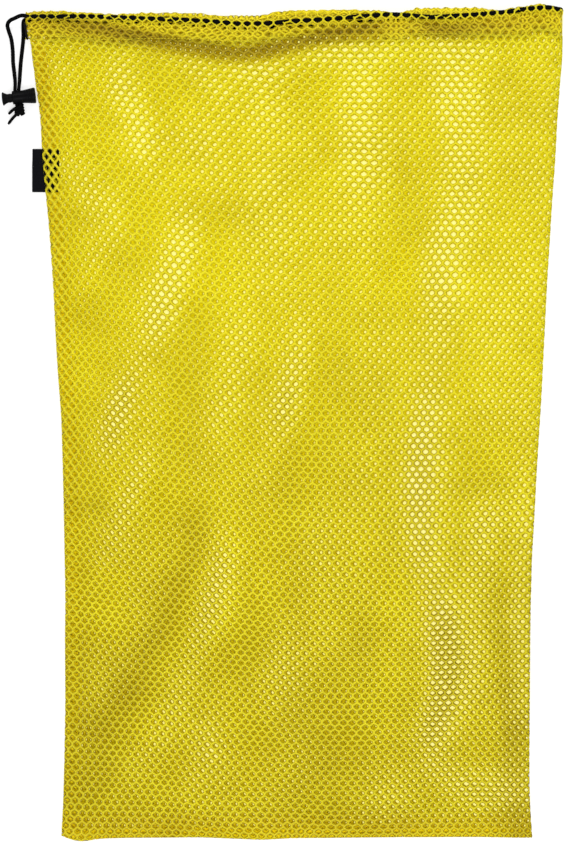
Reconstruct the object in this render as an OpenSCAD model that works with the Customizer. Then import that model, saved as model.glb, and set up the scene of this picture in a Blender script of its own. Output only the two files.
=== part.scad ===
// Mesh laundry bag with a drawcord hem and a barrel cord lock, laid flat.
// Frame: the bag lies on its back leaf on the plane z = 0, the mouth is
// towards +Y, the folded edge towards +X and the sewn edge towards -X.
// Origin: centre of the bag's footprint on that plane.

/* [Bag] */
// Mean width of the bag laid flat
bag_w = 457; // [430:1:490]
// Height from the bottom seam to the mouth
bag_h = 757; // [700:1:820]
// Thickness of one layer of the net
net_t = 1.0; // [0.8:0.1:1.2]
// Width of the seam allowance inside the side seam
side_allow_w = 12.7; // [8:0.1:15]
// Width of the seam allowance inside the bottom seam
bottom_allow_w = 11.0; // [8:0.1:15]
// Thickness of the two turned-in layers of an allowance
allow_t = 1.2; // [1.2:0.1:1.4]

/* [Drawcord hem] */
// Height of the hem tunnel from the mouth to its lower edge
hem_h = 26; // [24:0.5:32]
// Outer thickness of the hem tunnel around the cord
hem_t = 5.0; // [4.8:0.1:5.6]
// Clear gap between the two hems in the middle of the mouth
mouth_gap = 5.0; // [4.6:0.1:8]
// Distance between two stitches of a seam
stitch_pitch = 7; // [5:0.5:10]
// Height of the black tape that closes the tunnel end
tape_h = 14; // [10:0.5:16]

/* [Drawcord] */
// Diameter of the drawcord
cord_d = 3.0; // [2.6:0.1:3.2]

/* [Cord lock] */
// Length of the lock's housing
lock_len = 21; // [20:0.5:24]
// Diameter of the housing at its closed end
lock_d = 14.2; // [13.6:0.1:14.2]
// Diameter of the bore for the plunger
bore_d = 8.6; // [8.4:0.1:8.8]
// Radial clearance between plunger and bore
bore_gap = 0.08; // [0.05:0.01:0.1]
// Diameter of the plunger's thumb end
thumb_d = 12.2; // [11:0.1:12.6]
// Tilt of the lock from the X axis, in degrees
lock_tilt = 6.5; // [5:0.5:8]
// Wire diameter of the spring
spring_wire = 0.6; // [0.5:0.05:0.8]

/* [Label] */
// Length of the label along the seam
label_h = 39; // [30:1:45]
// Width of the label that shows outside the seam
label_out = 10; // [6:0.5:12]
// Width of the label's tail inside the bag
label_in = 14.5; // [10:0.5:16]

/* [Hidden] */

// The footprint is centred on the origin with this shift
shift = [-1.12, -0.25, 0];

kx = bag_w / 457;
ky = bag_h / 757;

// Outline of the laid bag, drawn by hand in millimetres for the 457 x 757 size
left_tab   = [[-379,-211.5],[-340,-209],[-305,-208],[-250,-207],[-160,-207],[-70,-209],
              [20,-212],[95,-217],[185,-222.5],[250,-229],[300,-233],[345,-238],[375,-241.7]];
right_tab  = [[-379,215.5],[-340,213],[-270,212.5],[-195,213.5],[-125,214.5],[-50,219],
              [20,223.5],[130,229],[200,233.5],[275,238],[330,242],[381,244]];
top_tab    = [[-245,372.5],[-230,373.5],[-205,373.5],[-175,371.5],[-150,372.5],[-95,371],
              [-60,369.5],[-30,369.5],[0,373],[40,374.5],[80,374],[100,373],[125,376],
              [165,376.5],[190,375.5],[210,378],[225,380.5],[238,379],[250,377]];
bottom_tab = [[-215,-373],[-195,-379],[-170,-375.5],[-100,-375],[-40,-376.5],[40,-375.5],
              [120,-375],[170,-375],[205,-376],[220,-374]];
// Route of the drawcord inside the front hem: x, then y
cord_tab   = [[-241.7,369],[-230,370.3],[-195,370],[-158,367.5],[-120,366],[-85,364],
              [-49,362],[-22,362.5],[15,366],[50,368.5],[78,369.5],[125,368.5],
              [150,371],[177,371.8],[196,374],[214,376],[232,375.5],[240,375]];

function left_x(y)   = kx * lookup(y / ky, left_tab);
function right_x(y)  = kx * lookup(y / ky, right_tab);
function top_y(x)    = ky * lookup(x / kx, top_tab);
function bottom_y(x) = ky * lookup(x / kx, bottom_tab);
function cord_y(x)   = min(top_y(x) - 2.8, ky * lookup(x / kx, cord_tab));
function mix(a, b, t) = a + (b - a) * t;
function smooth(t) = let (c = max(0, min(1, t))) c * c * (3 - 2 * c);

xl = kx * -241.7;            // left end of the hem tunnel
xr = kx * 238.5;             // centre of the hem's turn at the folded edge
end_gap = 1.4;               // gap between the hems at their ends
turn_r = end_gap / 2;        // inner radius of the turn
turn_z = hem_t + turn_r;
hem_join = 0.6;              // clearance between a leaf's top edge and its hem

// Inner surface of the front hem above the plane
function hem_z(x) = hem_t + mix(end_gap, mouth_gap,
    min(smooth((x - xl) / (60 * kx)), smooth((xr - x) / (60 * kx))));

// Underside of the front leaf: flat in the middle, lower towards the edges
leaf_h = hem_t + mouth_gap + 0.7;
edge_sewn  = [[0, 0], [9, 0.45], [24, 0.86], [44, 1]];
edge_fold  = [[0, 0], [3, 0.34], [10, 0.7], [22, 0.93], [40, 1]];
edge_mouth = [[0, 0], [2.5, 4.4], [4.5, 5.6], [70, 12]];
function leaf_z(x, y) = let (
    dl = x - left_x(y), dr = right_x(y) - x,
    db = y - bottom_y(x), dt = top_y(x) - hem_h - y,
    w = smooth(1 - dt / 60),
    sewn0 = net_t + allow_t,
    zl = mix(sewn0, leaf_h, lookup(dl, edge_sewn)),
    zr = mix(net_t, leaf_h, lookup(dr, edge_fold)),
    zd = mix(sewn0, leaf_h, lookup(db, edge_sewn)),
    zb = min(zl, zr, zd),
    zm = min(hem_z(x) + 0.7,
             sewn0 + lookup(dl, edge_mouth), net_t + 0.2 + lookup(dr, edge_mouth) * 1.1))
    mix(zb, zm, w);

// Top edges of both leaves, before the hem depth is taken off
leaf_tab = [[-242, 372.6], [-232, 372.9], [-215, 373.1], [-203, 372.9], [-191, 371.7], [-145, 371.6],
            [-72, 368], [0.7, 371], [73, 372.7], [146, 374.4], [195, 375.6], [207, 377.1],
            [219, 378.2], [243, 378]];
function leaf_top(x) = ky * lookup(x / kx, leaf_tab) - hem_h - hem_join;

// Sheet of the front leaf: columns closer together near the edges
us = [0, 0.006, 0.012, 0.02, 0.034, 0.054, 0.08, 0.105, 0.2, 0.35, 0.5,
      0.65, 0.8, 0.902, 0.925, 0.95, 0.966, 0.977, 0.988, 0.994, 1];
vs = [0, 0.0062, 0.0125, 0.022, 0.033, 0.046, 0.061, 0.16, 0.24, 0.32, 0.4, 0.48, 0.56, 0.64, 0.72,
      0.8, 0.86, 0.915, 0.935, 0.955, 0.975, 0.99, 1];
function leaf_point(u, v, up) = let (
    x0 = mix(xl, kx * 243, u),
    y = mix(bottom_y(x0), leaf_top(x0), v),
    x = mix(left_x(y), right_x(y), u))
    [x, y, leaf_z(x, y) + (up ? net_t : 0)];

module sheet(us, vs) {
    nu = len(us); nv = len(vs);
    lo = [for (v = vs) for (u = us) leaf_point(u, v, false)];
    hi = [for (v = vs) for (u = us) leaf_point(u, v, true)];
    n = nu * nv;
    function id(i, j) = j * nu + i;
    faces = concat(
        [for (j = [0 : nv - 2]) for (i = [0 : nu - 2]) each
            [[n + id(i, j), n + id(i + 1, j + 1), n + id(i + 1, j)],
             [n + id(i, j), n + id(i, j + 1), n + id(i + 1, j + 1)],
             [id(i, j), id(i + 1, j), id(i + 1, j + 1)],
             [id(i, j), id(i + 1, j + 1), id(i, j + 1)]]],
        [for (i = [0 : nu - 2]) each
            [[id(i, 0), n + id(i, 0), n + id(i + 1, 0)],
             [id(i, 0), n + id(i + 1, 0), id(i + 1, 0)],
             [id(i, nv - 1), n + id(i + 1, nv - 1), n + id(i, nv - 1)],
             [id(i, nv - 1), id(i + 1, nv - 1), n + id(i + 1, nv - 1)]]],
        [for (j = [0 : nv - 2]) each
            [[id(0, j), n + id(0, j + 1), n + id(0, j)],
             [id(0, j), id(0, j + 1), n + id(0, j + 1)],
             [id(nu - 1, j), n + id(nu - 1, j), n + id(nu - 1, j + 1)],
             [id(nu - 1, j), n + id(nu - 1, j + 1), id(nu - 1, j + 1)]]]);
    polyhedron(points = concat(lo, hi), faces = faces, convexity = 6);
}

// Skin of a stack of equal rings
module skin(rings) {
    m = len(rings[0]); n = len(rings);
    pts = [for (r = rings) each r];
    polyhedron(points = pts, faces = concat(
        [[for (k = [0 : m - 1]) m - 1 - k]],
        [[for (k = [0 : m - 1]) (n - 1) * m + k]],
        [for (i = [0 : n - 2]) for (k = [0 : m - 1]) let (k2 = (k + 1) % m) each
            [[i * m + k, (i + 1) * m + k2, (i + 1) * m + k],
             [i * m + k, i * m + k2, (i + 1) * m + k2]]]), convexity = 8);
}

// Tunnel section: [v, n], v down from the mouth edge, n out of the bag;
// a is the offset of the flat lower part
function tunnel(a) = [[hem_h, a], [hem_h, a + 2.4], [20, a + 2.4], [13.5, hem_t],
    [1.6, hem_t], [0.3, hem_t - 1], [0, hem_t / 2], [0.3, 1], [1.6, 0], [13.5, 0.08], [20, a]];
function cavity(a) = [[12.2, hem_t - 0.75], [2.2, hem_t - 0.75], [1.0, hem_t - 1.5],
    [1.0, 1.5], [2.2, 0.75], [12.2, 0.75]];

// Ring of a section at x on the front, or at the angle f of the turn
// The open end of the tunnel is cut on a slant, in line with the side seam
end_slant = 0.14;
function slant(x, v) = x <= xl + 0.01 ? x + end_slant * v : x;
function front_ring(x, sec) = [for (p = sec) [slant(x, p[0]), top_y(x) - p[0], hem_z(x) + p[1]]];
function back_ring(x, sec) = [for (p = sec) [slant(x, p[0]), top_y(x) - p[0], hem_t - p[1]]];
function turn_ring(f, sec) = [for (p = sec)
    [xr + (turn_r + p[1]) * sin(f), top_y(xr) - p[0], turn_z + (turn_r + p[1]) * cos(f)]];

hem_stations = [for (i = [0 : 20]) mix(xl, xr, i / 20)];

module front_casing() {
    color("gold") translate(shift) difference() {
        skin(concat([for (x = hem_stations) front_ring(x, tunnel(0))],
                    [for (f = [30, 60, 90]) turn_ring(f, tunnel(hem_t * 0.26 * f / 90))]));
        skin(concat([front_ring(xl - 1, cavity(0))],
                    [for (x = hem_stations) front_ring(x, cavity(0))],
                    [for (f = [30, 60, 90, 96]) turn_ring(f, cavity(0))]));
    }
}

module back_casing() {
    low = hem_t - 2.4;
    color("goldenrod") translate(shift) difference() {
        skin(concat([for (f = [90, 120, 150]) turn_ring(f, tunnel(mix(hem_t * 0.26, low, (f - 90) / 90)))],
                    [for (i = [20 : -1 : 0]) back_ring(hem_stations[i], tunnel(low))]));
        skin(concat([for (f = [84, 90, 120, 150]) turn_ring(f, cavity(0))],
                    [for (i = [20 : -1 : 0]) back_ring(hem_stations[i], cavity(0))],
                    [back_ring(xl - 1, cavity(0))]));
    }
}

module front_panel() {
    color("yellow") translate(shift) sheet(us, vs);
}

// Footprint of the back leaf up to the hem
function side_ys(n) = [for (i = [0 : n]) i / n];
module back_panel() {
    n = 18;
    bl = bottom_y(xl);
    pts = concat(
        [for (t = side_ys(12)) let (x = mix(left_x(-374), right_x(-374), t)) [x, bottom_y(x)]],
        [for (t = side_ys(n)) let (y = mix(bottom_y(215), leaf_top(243), t)) if (t > 0 && t < 1) [right_x(y), y]],
        [for (t = side_ys(20)) let (x = mix(kx * 243, xl + end_slant * hem_h, t)) [x, leaf_top(x)]],
        [for (t = side_ys(n)) let (y = mix(leaf_top(xl), bottom_y(-211), t)) if (t > 0 && t < 1) [left_x(y), y]]);
    color("khaki") translate(shift) linear_extrude(height = net_t) polygon(pts);
}

allow_z = net_t;
module side_seam_allowance() {
    ys = [for (i = [0 : 16]) mix(-355 * ky, 340 * ky, i / 16)];
    lab_y = 229.5 * ky;
    color("darkkhaki") translate(shift) difference() {
        translate([0, 0, allow_z]) linear_extrude(height = allow_t) polygon(concat(
            [for (y = ys) [left_x(y) + 0.2, y]],
            [for (i = [16 : -1 : 0]) [left_x(ys[i]) + side_allow_w, ys[i]]]));
        // slit that the label's tail passes through
        translate([left_x(lab_y) - 20, lab_y - label_h / 2 - 0.3, allow_z + allow_t / 2 - 0.33])
            cube([60, label_h + 0.6, 0.66]);
    }
}

module bottom_seam_allowance() {
    xs = [for (i = [0 : 14]) mix(-204 * kx, 210 * kx, i / 14)];
    color("darkkhaki") translate(shift) translate([0, 0, allow_z]) linear_extrude(height = allow_t) polygon(concat(
        [for (x = xs) [x, bottom_y(x) + 0.2]],
        [for (i = [14 : -1 : 0]) [xs[i], bottom_y(xs[i]) + bottom_allow_w]]));
}

// One stitch: a short flat bar of thread
module stitch(p, ang, l = 4.4) {
    translate(p) rotate([0, 0, ang]) translate([-l / 2, -0.3, 0]) cube([l, 0.6, 0.34]);
}

module side_seam_thread() {
    z = allow_z + allow_t + 0.02;
    n = floor(690 * ky / stitch_pitch);
    color("goldenrod") translate(shift) for (i = [0 : n]) {
        y = -352 * ky + i * stitch_pitch;
        stitch([left_x(y) + 2.6, y, z],
               90 + atan2(left_x(y) - left_x(y + 5), 5));
    }
}

module bottom_seam_thread() {
    z = allow_z + allow_t + 0.02;
    n = floor(405 * kx / stitch_pitch);
    color("goldenrod") translate(shift) for (i = [0 : n]) {
        x = -200 * kx + i * stitch_pitch;
        stitch([x, bottom_y(x) + 2.6, z], atan2(bottom_y(x + 3) - bottom_y(x - 3), 6));
    }
}

hem_row = 24;                // depth of the hem stitches below the mouth
function hem_ang(x) = atan2(top_y(x + 3) - top_y(x - 3), 6);
function hem_facet(x) = let (i = max(0, min(19, floor((x - xl) / (xr - xl) * 20))),
    a = hem_stations[i], b = hem_stations[i + 1]) mix(hem_z(a), hem_z(b), (x - a) / (b - a));
module front_hem_stitching() {
    n = floor((xr - xl - 10) / stitch_pitch);
    color("goldenrod") translate(shift) for (i = [0 : n]) {
        x = xl + 6.5 + i * stitch_pitch;
        stitch([x, top_y(x) - hem_row, max(hem_facet(x - 2.2), hem_facet(x + 2.2)) + 2.65], hem_ang(x));
    }
}

module back_hem_stitching() {
    n = floor((xr - xl - 10) / stitch_pitch);
    color("goldenrod") translate(shift) for (i = [0 : n]) {
        x = xl + 6.5 + i * stitch_pitch;
        stitch([x, top_y(x) - hem_row, 2.65], hem_ang(x));
    }
}

module casing_end_tape() {
    color("black") translate(shift)
        translate([xl + end_slant * 9.5 - 0.2, ky * 363, 1.0]) rotate([0, 0, atan(end_slant)])
            translate([-1.4, -tape_h, 0]) cube([1.4, tape_h, 2 * hem_t + end_gap - 2]);
}

module label() {
    y0 = 229.5 * ky;
    x0 = left_x(y0);
    color("midnightblue") translate(shift)
        translate([x0 - label_out, y0 - label_h / 2, allow_z + allow_t / 2 - 0.3])
            cube([label_out + label_in, label_h, 0.6]);
}

// Tube of the cord through a row of points, with flat square ends
function unit(v) = v / norm(v);
function tangent(p, i) = unit((i < len(p) - 1 ? p[i + 1] : p[i]) - (i > 0 ? p[i - 1] : p[i]));
function tube_ring(c, t, d, n) = let (
    s = unit(cross(t, abs(t[2]) > 0.9 ? [1, 0, 0] : [0, 0, 1])), q = cross(s, t))
    [for (k = [0 : n - 1]) c + (d / 2) * (cos(360 * k / n) * s + sin(360 * k / n) * q)];
module tube(p, d, n = 8) {
    skin([for (i = [0 : len(p) - 1]) tube_ring(p[i], tangent(p, i), d, n)]);
}

// The cord inside the tunnel: along the front, around the turn, back again
module drawcord_in_casing() {
    fr = hem_t / 2;
    xs = hem_stations;
    color("black") translate(shift) tube(concat(
        [for (x = xs) [x, cord_y(x), hem_z(x) + fr]],
        [for (f = [30, 60, 90, 120, 150]) [xr + (turn_r + fr) * sin(f), cord_y(xr), turn_z + (turn_r + fr) * cos(f)]],
        [for (i = [20 : -1 : 0]) [xs[i], cord_y(xs[i]) - (i == 0 ? 2.4 : i == 1 ? 1 : 0), fr]]), cord_d);
}

// Cord lock axes: hole centre, then a along the lock, s along the strands
hole = [-249.9 * kx, 295.5 * ky, 7.15];
module in_lock() { translate(shift) translate(hole) rotate([0, 0, lock_tilt]) children(); }
lk_s = [-sin(lock_tilt), cos(lock_tilt), 0];
lk_a = [cos(lock_tilt), sin(lock_tilt), 0];
strand_gap = 1.7;            // half the spacing of the strands in the hole
top_s = 7.0;                 // upper strands end this far above the hole centre
low_s = -6.4;                // lower strands end this far below it
function at_lock(a, s) = hole + a * lk_a + s * lk_s;

exit_front = [xl, cord_y(xl), hem_z(xl) + hem_t / 2];
exit_back  = [xl, cord_y(xl) - 2.4, hem_t / 2];

module strand_left() {
    p = concat([exit_front], [for (q = [[-247, 369.2, 8.6], [-252.5, 367, 7.6], [-257, 364.8, 6.6],
        [-259.3, 361, 5.6], [-258, 355, 4.8], [-255.8, 348, 4.4], [-254.6, 338, 4.2],
        [-254.2, 327, 4.6], [-253, 317, 5.6], [-252.2, 309, 6.6]]) [q[0] * kx, q[1] * ky, q[2]]],
        [at_lock(-strand_gap, top_s)]);
    color("black") translate(shift) tube(p, cord_d);
}

module strand_right() {
    p = concat([exit_back], [for (q = [[-243.9, 365.9, 2.4], [-245.1, 363.6, 2.2], [-245.2, 358, 2.0],
        [-245.1, 350, 2.0], [-246, 340, 2.1], [-247.3, 328, 3.0], [-248, 317, 4.6],
        [-248.4, 309, 6.2]]) [q[0] * kx, q[1] * ky, q[2]]],
        [at_lock(strand_gap, top_s)]);
    color("black") translate(shift) tube(p, cord_d);
}

module strand_left_lower() {
    color("black") translate(shift) tube([at_lock(-strand_gap, top_s), at_lock(-strand_gap, 0),
                                          at_lock(-strand_gap, low_s)], cord_d);
}
module strand_right_lower() {
    color("black") translate(shift) tube([at_lock(strand_gap, top_s), at_lock(strand_gap, 0),
                                          at_lock(strand_gap, low_s)], cord_d);
}

// The knot: three wraps of the doubled cord around a core
knot_c = [0.6, -11.6, -1.4];  // a, s, z from the hole centre
module wrap(r, ax) { rotate(ax) rotate_extrude($fn = 48) translate([r, 0]) circle(d = cord_d, $fn = 24); }
module knot() {
    color("black") in_lock() translate(knot_c) {
        wrap(3.5, [90, 0, 78]);
        translate([0, -1.4, 0]) wrap(3.3, [82, 0, 112]);
        translate([0.8, 0.8, 0]) wrap(3.0, [28, 50, 0]);
        sphere(d = 6.4, $fn = 32);
    }
}

tail_up = [[-6.0, -10.2, -3.2], [-7.6, -12.4, -4.2], [-9.8, -15.2, -4.9]];
tail_dn = [[-3.6, -16.8, -3.4], [-6.0, -19.6, -4.6], [-8.4, -23.6, -5.2]];
module tail_upper() { color("black") in_lock() tube(tail_up, cord_d); }
module tail_lower() { color("black") in_lock() tube(tail_dn, cord_d); }

// Cord slot with round ends, along s
module slot(a0, a1, h) {
    for (a = [a0 + h / 2, a1 - h / 2]) translate([a, 12, 0]) rotate([90, 0, 0]) cylinder(d = h, h = 24, $fn = 32);
    translate([a0 + h / 2, -12, -h / 2]) cube([a1 - a0 - h, 24, h]);
}
module along_a() { rotate([0, 90, 0]) children(); }

lock_back = lock_len - 4.8;   // a of the closed end
bore_end = lock_back - 3.0;
module lock_housing() {
    color([0.1, 0.1, 0.11]) in_lock() difference() {
        along_a() rotate_extrude($fn = 64) polygon([[0, -4.8], [5.7, -4.8], [6.2, -4.2], [6.1, -2.6],
            [5.8, 1], [5.85, 5], [6.3, 8.5], [lock_d / 2 - 0.15, 11.5], [lock_d / 2, lock_back - 1],
            [lock_d / 2 - 0.6, lock_back], [0, lock_back]]);
        along_a() translate([0, 0, -6]) cylinder(d = bore_d, h = bore_end + 6, $fn = 64);
        slot(-3.6, 3.6, 4.0);
    }
}

spring_seat = 4.9;
module lock_plunger() {
    color([0.12, 0.12, 0.13]) in_lock() difference() {
        along_a() rotate_extrude($fn = 64) polygon([[0, -14.1], [thumb_d / 2 - 0.5, -14.1], [thumb_d / 2, -13.6],
            [thumb_d / 2 - 0.2, -12.8], [4.9, -11.2], [4.1, -9.4], [3.9, -8.2], [bore_d / 2 - bore_gap, -7.6],
            [bore_d / 2 - bore_gap, 9], [0, 9]]);
        slot(-7.4, 3.5, 3.8);
        along_a() translate([0, 0, spring_seat]) cylinder(d = 6.6, h = 8, $fn = 48);
    }
}

spring_turns = 5;
module lock_spring() {
    r = 2.6;
    l0 = spring_seat + spring_wire / 2 + 0.02;
    l1 = bore_end - spring_wire / 2 - 0.02;
    n = spring_turns * 12;
    color("silver") in_lock() tube([for (i = [0 : n]) let (f = 30 * i)
        [mix(l0, l1, i / n), r * cos(f), r * sin(f)]], spring_wire, 6);
}

back_panel();
front_panel();
back_casing();
front_casing();
side_seam_allowance();
bottom_seam_allowance();
side_seam_thread();
bottom_seam_thread();
front_hem_stitching();
back_hem_stitching();
casing_end_tape();
label();
drawcord_in_casing();
strand_left();
strand_right();
strand_left_lower();
strand_right_lower();
knot();
tail_upper();
tail_lower();
lock_housing();
lock_plunger();
lock_spring();
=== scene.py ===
import math

import bpy
import numpy as np
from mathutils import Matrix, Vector


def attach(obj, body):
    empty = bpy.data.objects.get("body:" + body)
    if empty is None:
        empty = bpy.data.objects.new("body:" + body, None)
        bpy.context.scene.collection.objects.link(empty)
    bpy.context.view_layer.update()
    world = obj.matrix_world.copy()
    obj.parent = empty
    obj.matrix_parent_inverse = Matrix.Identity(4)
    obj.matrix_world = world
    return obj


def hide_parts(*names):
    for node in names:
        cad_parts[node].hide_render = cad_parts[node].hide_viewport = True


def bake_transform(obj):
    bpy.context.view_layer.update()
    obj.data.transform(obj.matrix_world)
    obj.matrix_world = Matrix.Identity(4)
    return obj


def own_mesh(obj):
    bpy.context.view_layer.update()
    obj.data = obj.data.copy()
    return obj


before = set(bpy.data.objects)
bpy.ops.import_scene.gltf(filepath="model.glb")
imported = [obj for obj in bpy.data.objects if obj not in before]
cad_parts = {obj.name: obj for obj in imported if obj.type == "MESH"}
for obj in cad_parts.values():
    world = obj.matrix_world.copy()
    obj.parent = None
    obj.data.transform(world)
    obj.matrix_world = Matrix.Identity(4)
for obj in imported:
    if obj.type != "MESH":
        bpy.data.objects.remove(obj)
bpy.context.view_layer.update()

scene = bpy.context.scene

# ------------------------------------------------------------------ grid
# Outlines and lattices are laid out on a drawing grid of 0.905 mm, g = (gx, gy), gy down.
# The grid maps to the row frame with the same shift as the CAD outline tables.
K = 0.905e-3
SX, SY = -1.12e-3, -0.25e-3


def GX(gx):
    return (np.asarray(gx, float) - 294.0) * K + SX


def GY(gy):
    return (424.0 - np.asarray(gy, float)) * K + SY


def gx_of(x):
    return (np.asarray(x, float) - SX) / K + 294.0


def gy_of(y):
    return 424.0 - (np.asarray(y, float) - SY) / K


# ------------------------------------------------------------------ camera
CAM_H = 3.6
Z_REF = 0.005
CX, CY = float(GX(284.5)), float(GY(423.5))
cam_data = bpy.data.cameras.new("camera")
cam = bpy.data.objects.new("camera", cam_data)
scene.collection.objects.link(cam)
cam.location = (CX, CY, CAM_H)
cam.rotation_euler = (0, 0, 0)
cam_data.sensor_fit = "AUTO"
cam_data.sensor_width = 36.0
cam_data.lens = 36.0 * (CAM_H - Z_REF) / (847 * K)
cam_data.clip_start = 0.05
cam_data.clip_end = 60
scene.camera = cam

scene.view_settings.view_transform = "Standard"
scene.view_settings.look = "None"
scene.view_settings.exposure = 0.0
scene.view_settings.gamma = 1.0


# ------------------------------------------------------------------ helpers
def smooth(t):
    t = np.clip(t, 0, 1)
    return t * t * (3 - 2 * t)


def mix(a, b, t):
    return a + (b - a) * t


class Curve1:
    """Smooth function through given points."""

    def __init__(self, pts, blur=6.0, step=1.0):
        pts = sorted(pts)
        xs = np.array([p[0] for p in pts], float)
        ys = np.array([p[1] for p in pts], float)
        self.x = np.arange(xs[0] - 60, xs[-1] + 60, step)
        y = np.interp(self.x, xs, ys)
        sl0 = (ys[1] - ys[0]) / (xs[1] - xs[0])
        sl1 = (ys[-1] - ys[-2]) / (xs[-1] - xs[-2])
        y = np.where(self.x < xs[0], ys[0] + sl0 * (self.x - xs[0]), y)
        y = np.where(self.x > xs[-1], ys[-1] + sl1 * (self.x - xs[-1]), y)
        if blur > 0:
            n = int(3 * blur / step)
            k = np.exp(-0.5 * (np.arange(-n, n + 1) * step / blur) ** 2)
            k /= k.sum()
            y = np.convolve(np.pad(y, n, mode="edge"), k, mode="valid")
        self.y = y

    def __call__(self, v):
        return np.interp(v, self.x, self.y)


class Noise2:
    """Smooth seeded noise over the plane, in -1..1."""

    def __init__(self, seed, cell):
        self.cell = float(cell)
        self.g = np.random.RandomState(seed).uniform(-1, 1, (256, 256))

    def __call__(self, x, y):
        x = np.asarray(x, float) / self.cell + 101.3
        y = np.asarray(y, float) / self.cell + 57.7
        ix, iy = np.floor(x).astype(int), np.floor(y).astype(int)
        fx, fy = x - ix, y - iy
        fx, fy = fx * fx * (3 - 2 * fx), fy * fy * (3 - 2 * fy)
        a = self.g[ix % 256, iy % 256]
        b = self.g[(ix + 1) % 256, iy % 256]
        c = self.g[ix % 256, (iy + 1) % 256]
        d = self.g[(ix + 1) % 256, (iy + 1) % 256]
        return (a * (1 - fx) + b * fx) * (1 - fy) + (c * (1 - fx) + d * fx) * fy


def grid2(xs, ys, rows):
    """Smooth bilinear lookup of given values."""
    xs, ys, rows = np.array(xs, float), np.array(ys, float), np.array(rows, float)

    def f(x, y):
        x = np.clip(x, xs[0], xs[-1])
        y = np.clip(y, ys[0], ys[-1])
        i = np.clip(np.searchsorted(xs, x, side="right") - 1, 0, len(xs) - 2)
        j = np.clip(np.searchsorted(ys, y, side="right") - 1, 0, len(ys) - 2)
        fx = smooth((x - xs[i]) / (xs[i + 1] - xs[i]))
        fy = smooth((y - ys[j]) / (ys[j + 1] - ys[j]))
        return (rows[j, i] * (1 - fx) + rows[j, i + 1] * fx) * (1 - fy) + (
            rows[j + 1, i] * (1 - fx) + rows[j + 1, i + 1] * fx
        ) * fy

    return f


def add_mesh(name, verts, faces, smooth_shade=True):
    me = bpy.data.meshes.new(name)
    me.from_pydata([tuple(v) for v in verts], [], [tuple(f) for f in faces])
    me.validate()
    if smooth_shade:
        me.polygons.foreach_set("use_smooth", [True] * len(me.polygons))
    ob = bpy.data.objects.new(name, me)
    scene.collection.objects.link(ob)
    return ob


def add_quads(name, verts, quads, smooth_shade=True):
    me = bpy.data.meshes.new(name)
    nv, nf = len(verts), len(quads)
    me.vertices.add(nv)
    me.vertices.foreach_set("co", np.ascontiguousarray(verts, np.float32).ravel())
    me.loops.add(nf * 4)
    me.loops.foreach_set("vertex_index", np.ascontiguousarray(quads, np.int32).ravel())
    me.polygons.add(nf)
    me.polygons.foreach_set("loop_start", np.arange(0, nf * 4, 4, dtype=np.int32))
    me.polygons.foreach_set("loop_total", np.full(nf, 4, np.int32))
    me.update(calc_edges=True)
    if smooth_shade:
        me.polygons.foreach_set("use_smooth", np.ones(nf, bool))
    ob = bpy.data.objects.new(name, me)
    scene.collection.objects.link(ob)
    return ob


# ------------------------------------------------------------------ outline (grid units)
L_EDGE = Curve1([(-30, 25.2), (8, 25.4), (13, 25.8), (22, 26.4), (32, 28.2), (40, 30), (56, 32), (79, 34.6),
                 (92, 36.2), (104, 38.3), (118, 40), (148, 41.5), (191, 45), (220, 48), (260, 51), (290, 53),
                 (320, 54.4), (360, 56.6), (380, 58), (400, 59.6), (420, 61), (460, 62.2), (500, 63.2),
                 (540, 64), (600, 65), (640, 64.6), (700, 65), (760, 64), (800, 63), (838, 61), (870, 60)], 5)
R_EDGE = Curve1([(-30, 566), (3, 565.4), (20, 565), (60, 562), (80, 560), (100, 558.6), (120, 557), (160, 555),
                 (200, 552), (240, 549.6), (280, 547), (320, 545), (360, 543), (400, 541), (440, 538.4),
                 (480, 536), (520, 534), (560, 531.6), (600, 530.6), (640, 530), (700, 529.6), (760, 529),
                 (800, 529.6), (820, 530.6), (838, 532), (870, 533)], 6)
T_EDGE = Curve1([(10, 12.8), (40, 11), (60, 11), (80, 12.5), (100, 14), (120, 14.6), (140, 13), (200, 13),
                 (215, 15.6), (262, 15.8), (276, 12), (300, 10.4), (380, 10.2), (388, 12.6), (404, 12.6),
                 (414, 8.2), (480, 7.6), (490, 10), (503, 10.6), (512, 8), (526, 6), (540, 3.6), (552, 5.5),
                 (566, 8.5), (590, 10)], 3)
B_EDGE = Curve1([(50, 834), (60, 835.5), (72, 841), (82, 842.6), (100, 839.4), (120, 838.6), (200, 838),
                 (240, 839.6), (262, 840.6), (290, 839), (380, 838), (480, 837.6), (520, 838.6), (545, 838)], 5)
CORD_LINE = Curve1([(24, 17.8), (40, 17.1), (60, 17.5), (80, 17.6), (100, 17.8), (120, 18.8), (140, 19.6),
                    (160, 20), (180, 20.8), (200, 21.8), (220, 23.2), (235, 24.9), (250, 25.0), (270, 24.4),
                    (290, 22.6), (310, 21.4), (330, 19.9), (350, 18.4), (370, 17.0), (390, 15.4), (410, 16.7),
                    (430, 18.3), (450, 17.4), (470, 16.2), (490, 14.6), (510, 12.4), (530, 9.4), (550, 8.0),
                    (566, 10)], 4)
HEM_H = 28.5  # depth of the hem below the top edge, in grid units

NC = 56  # cells across the bag


def mm(v):
    return v / 0.905  # millimetres to grid units


# rows: height of two rows along the bag
ROW2 = Curve1([(-60, 10.9), (20, 10.9), (60, 11.1), (136, 11.5), (212, 11.75), (288, 11.8), (364, 11.65), (440, 11.3),
               (516, 11.05), (592, 10.75), (668, 10.4), (744, 10.15), (838, 9.9), (900, 9.8)], 20)
_y = np.arange(-80, 960, 0.5)
_n = np.concatenate([[0], np.cumsum(0.5 / (0.5 * ROW2((_y[:-1] + _y[1:]) / 2)))])
_n -= np.interp(424, _y, _n)
ROW0 = 0


def row_y(j):
    return np.interp(j, _n, _y)


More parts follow.
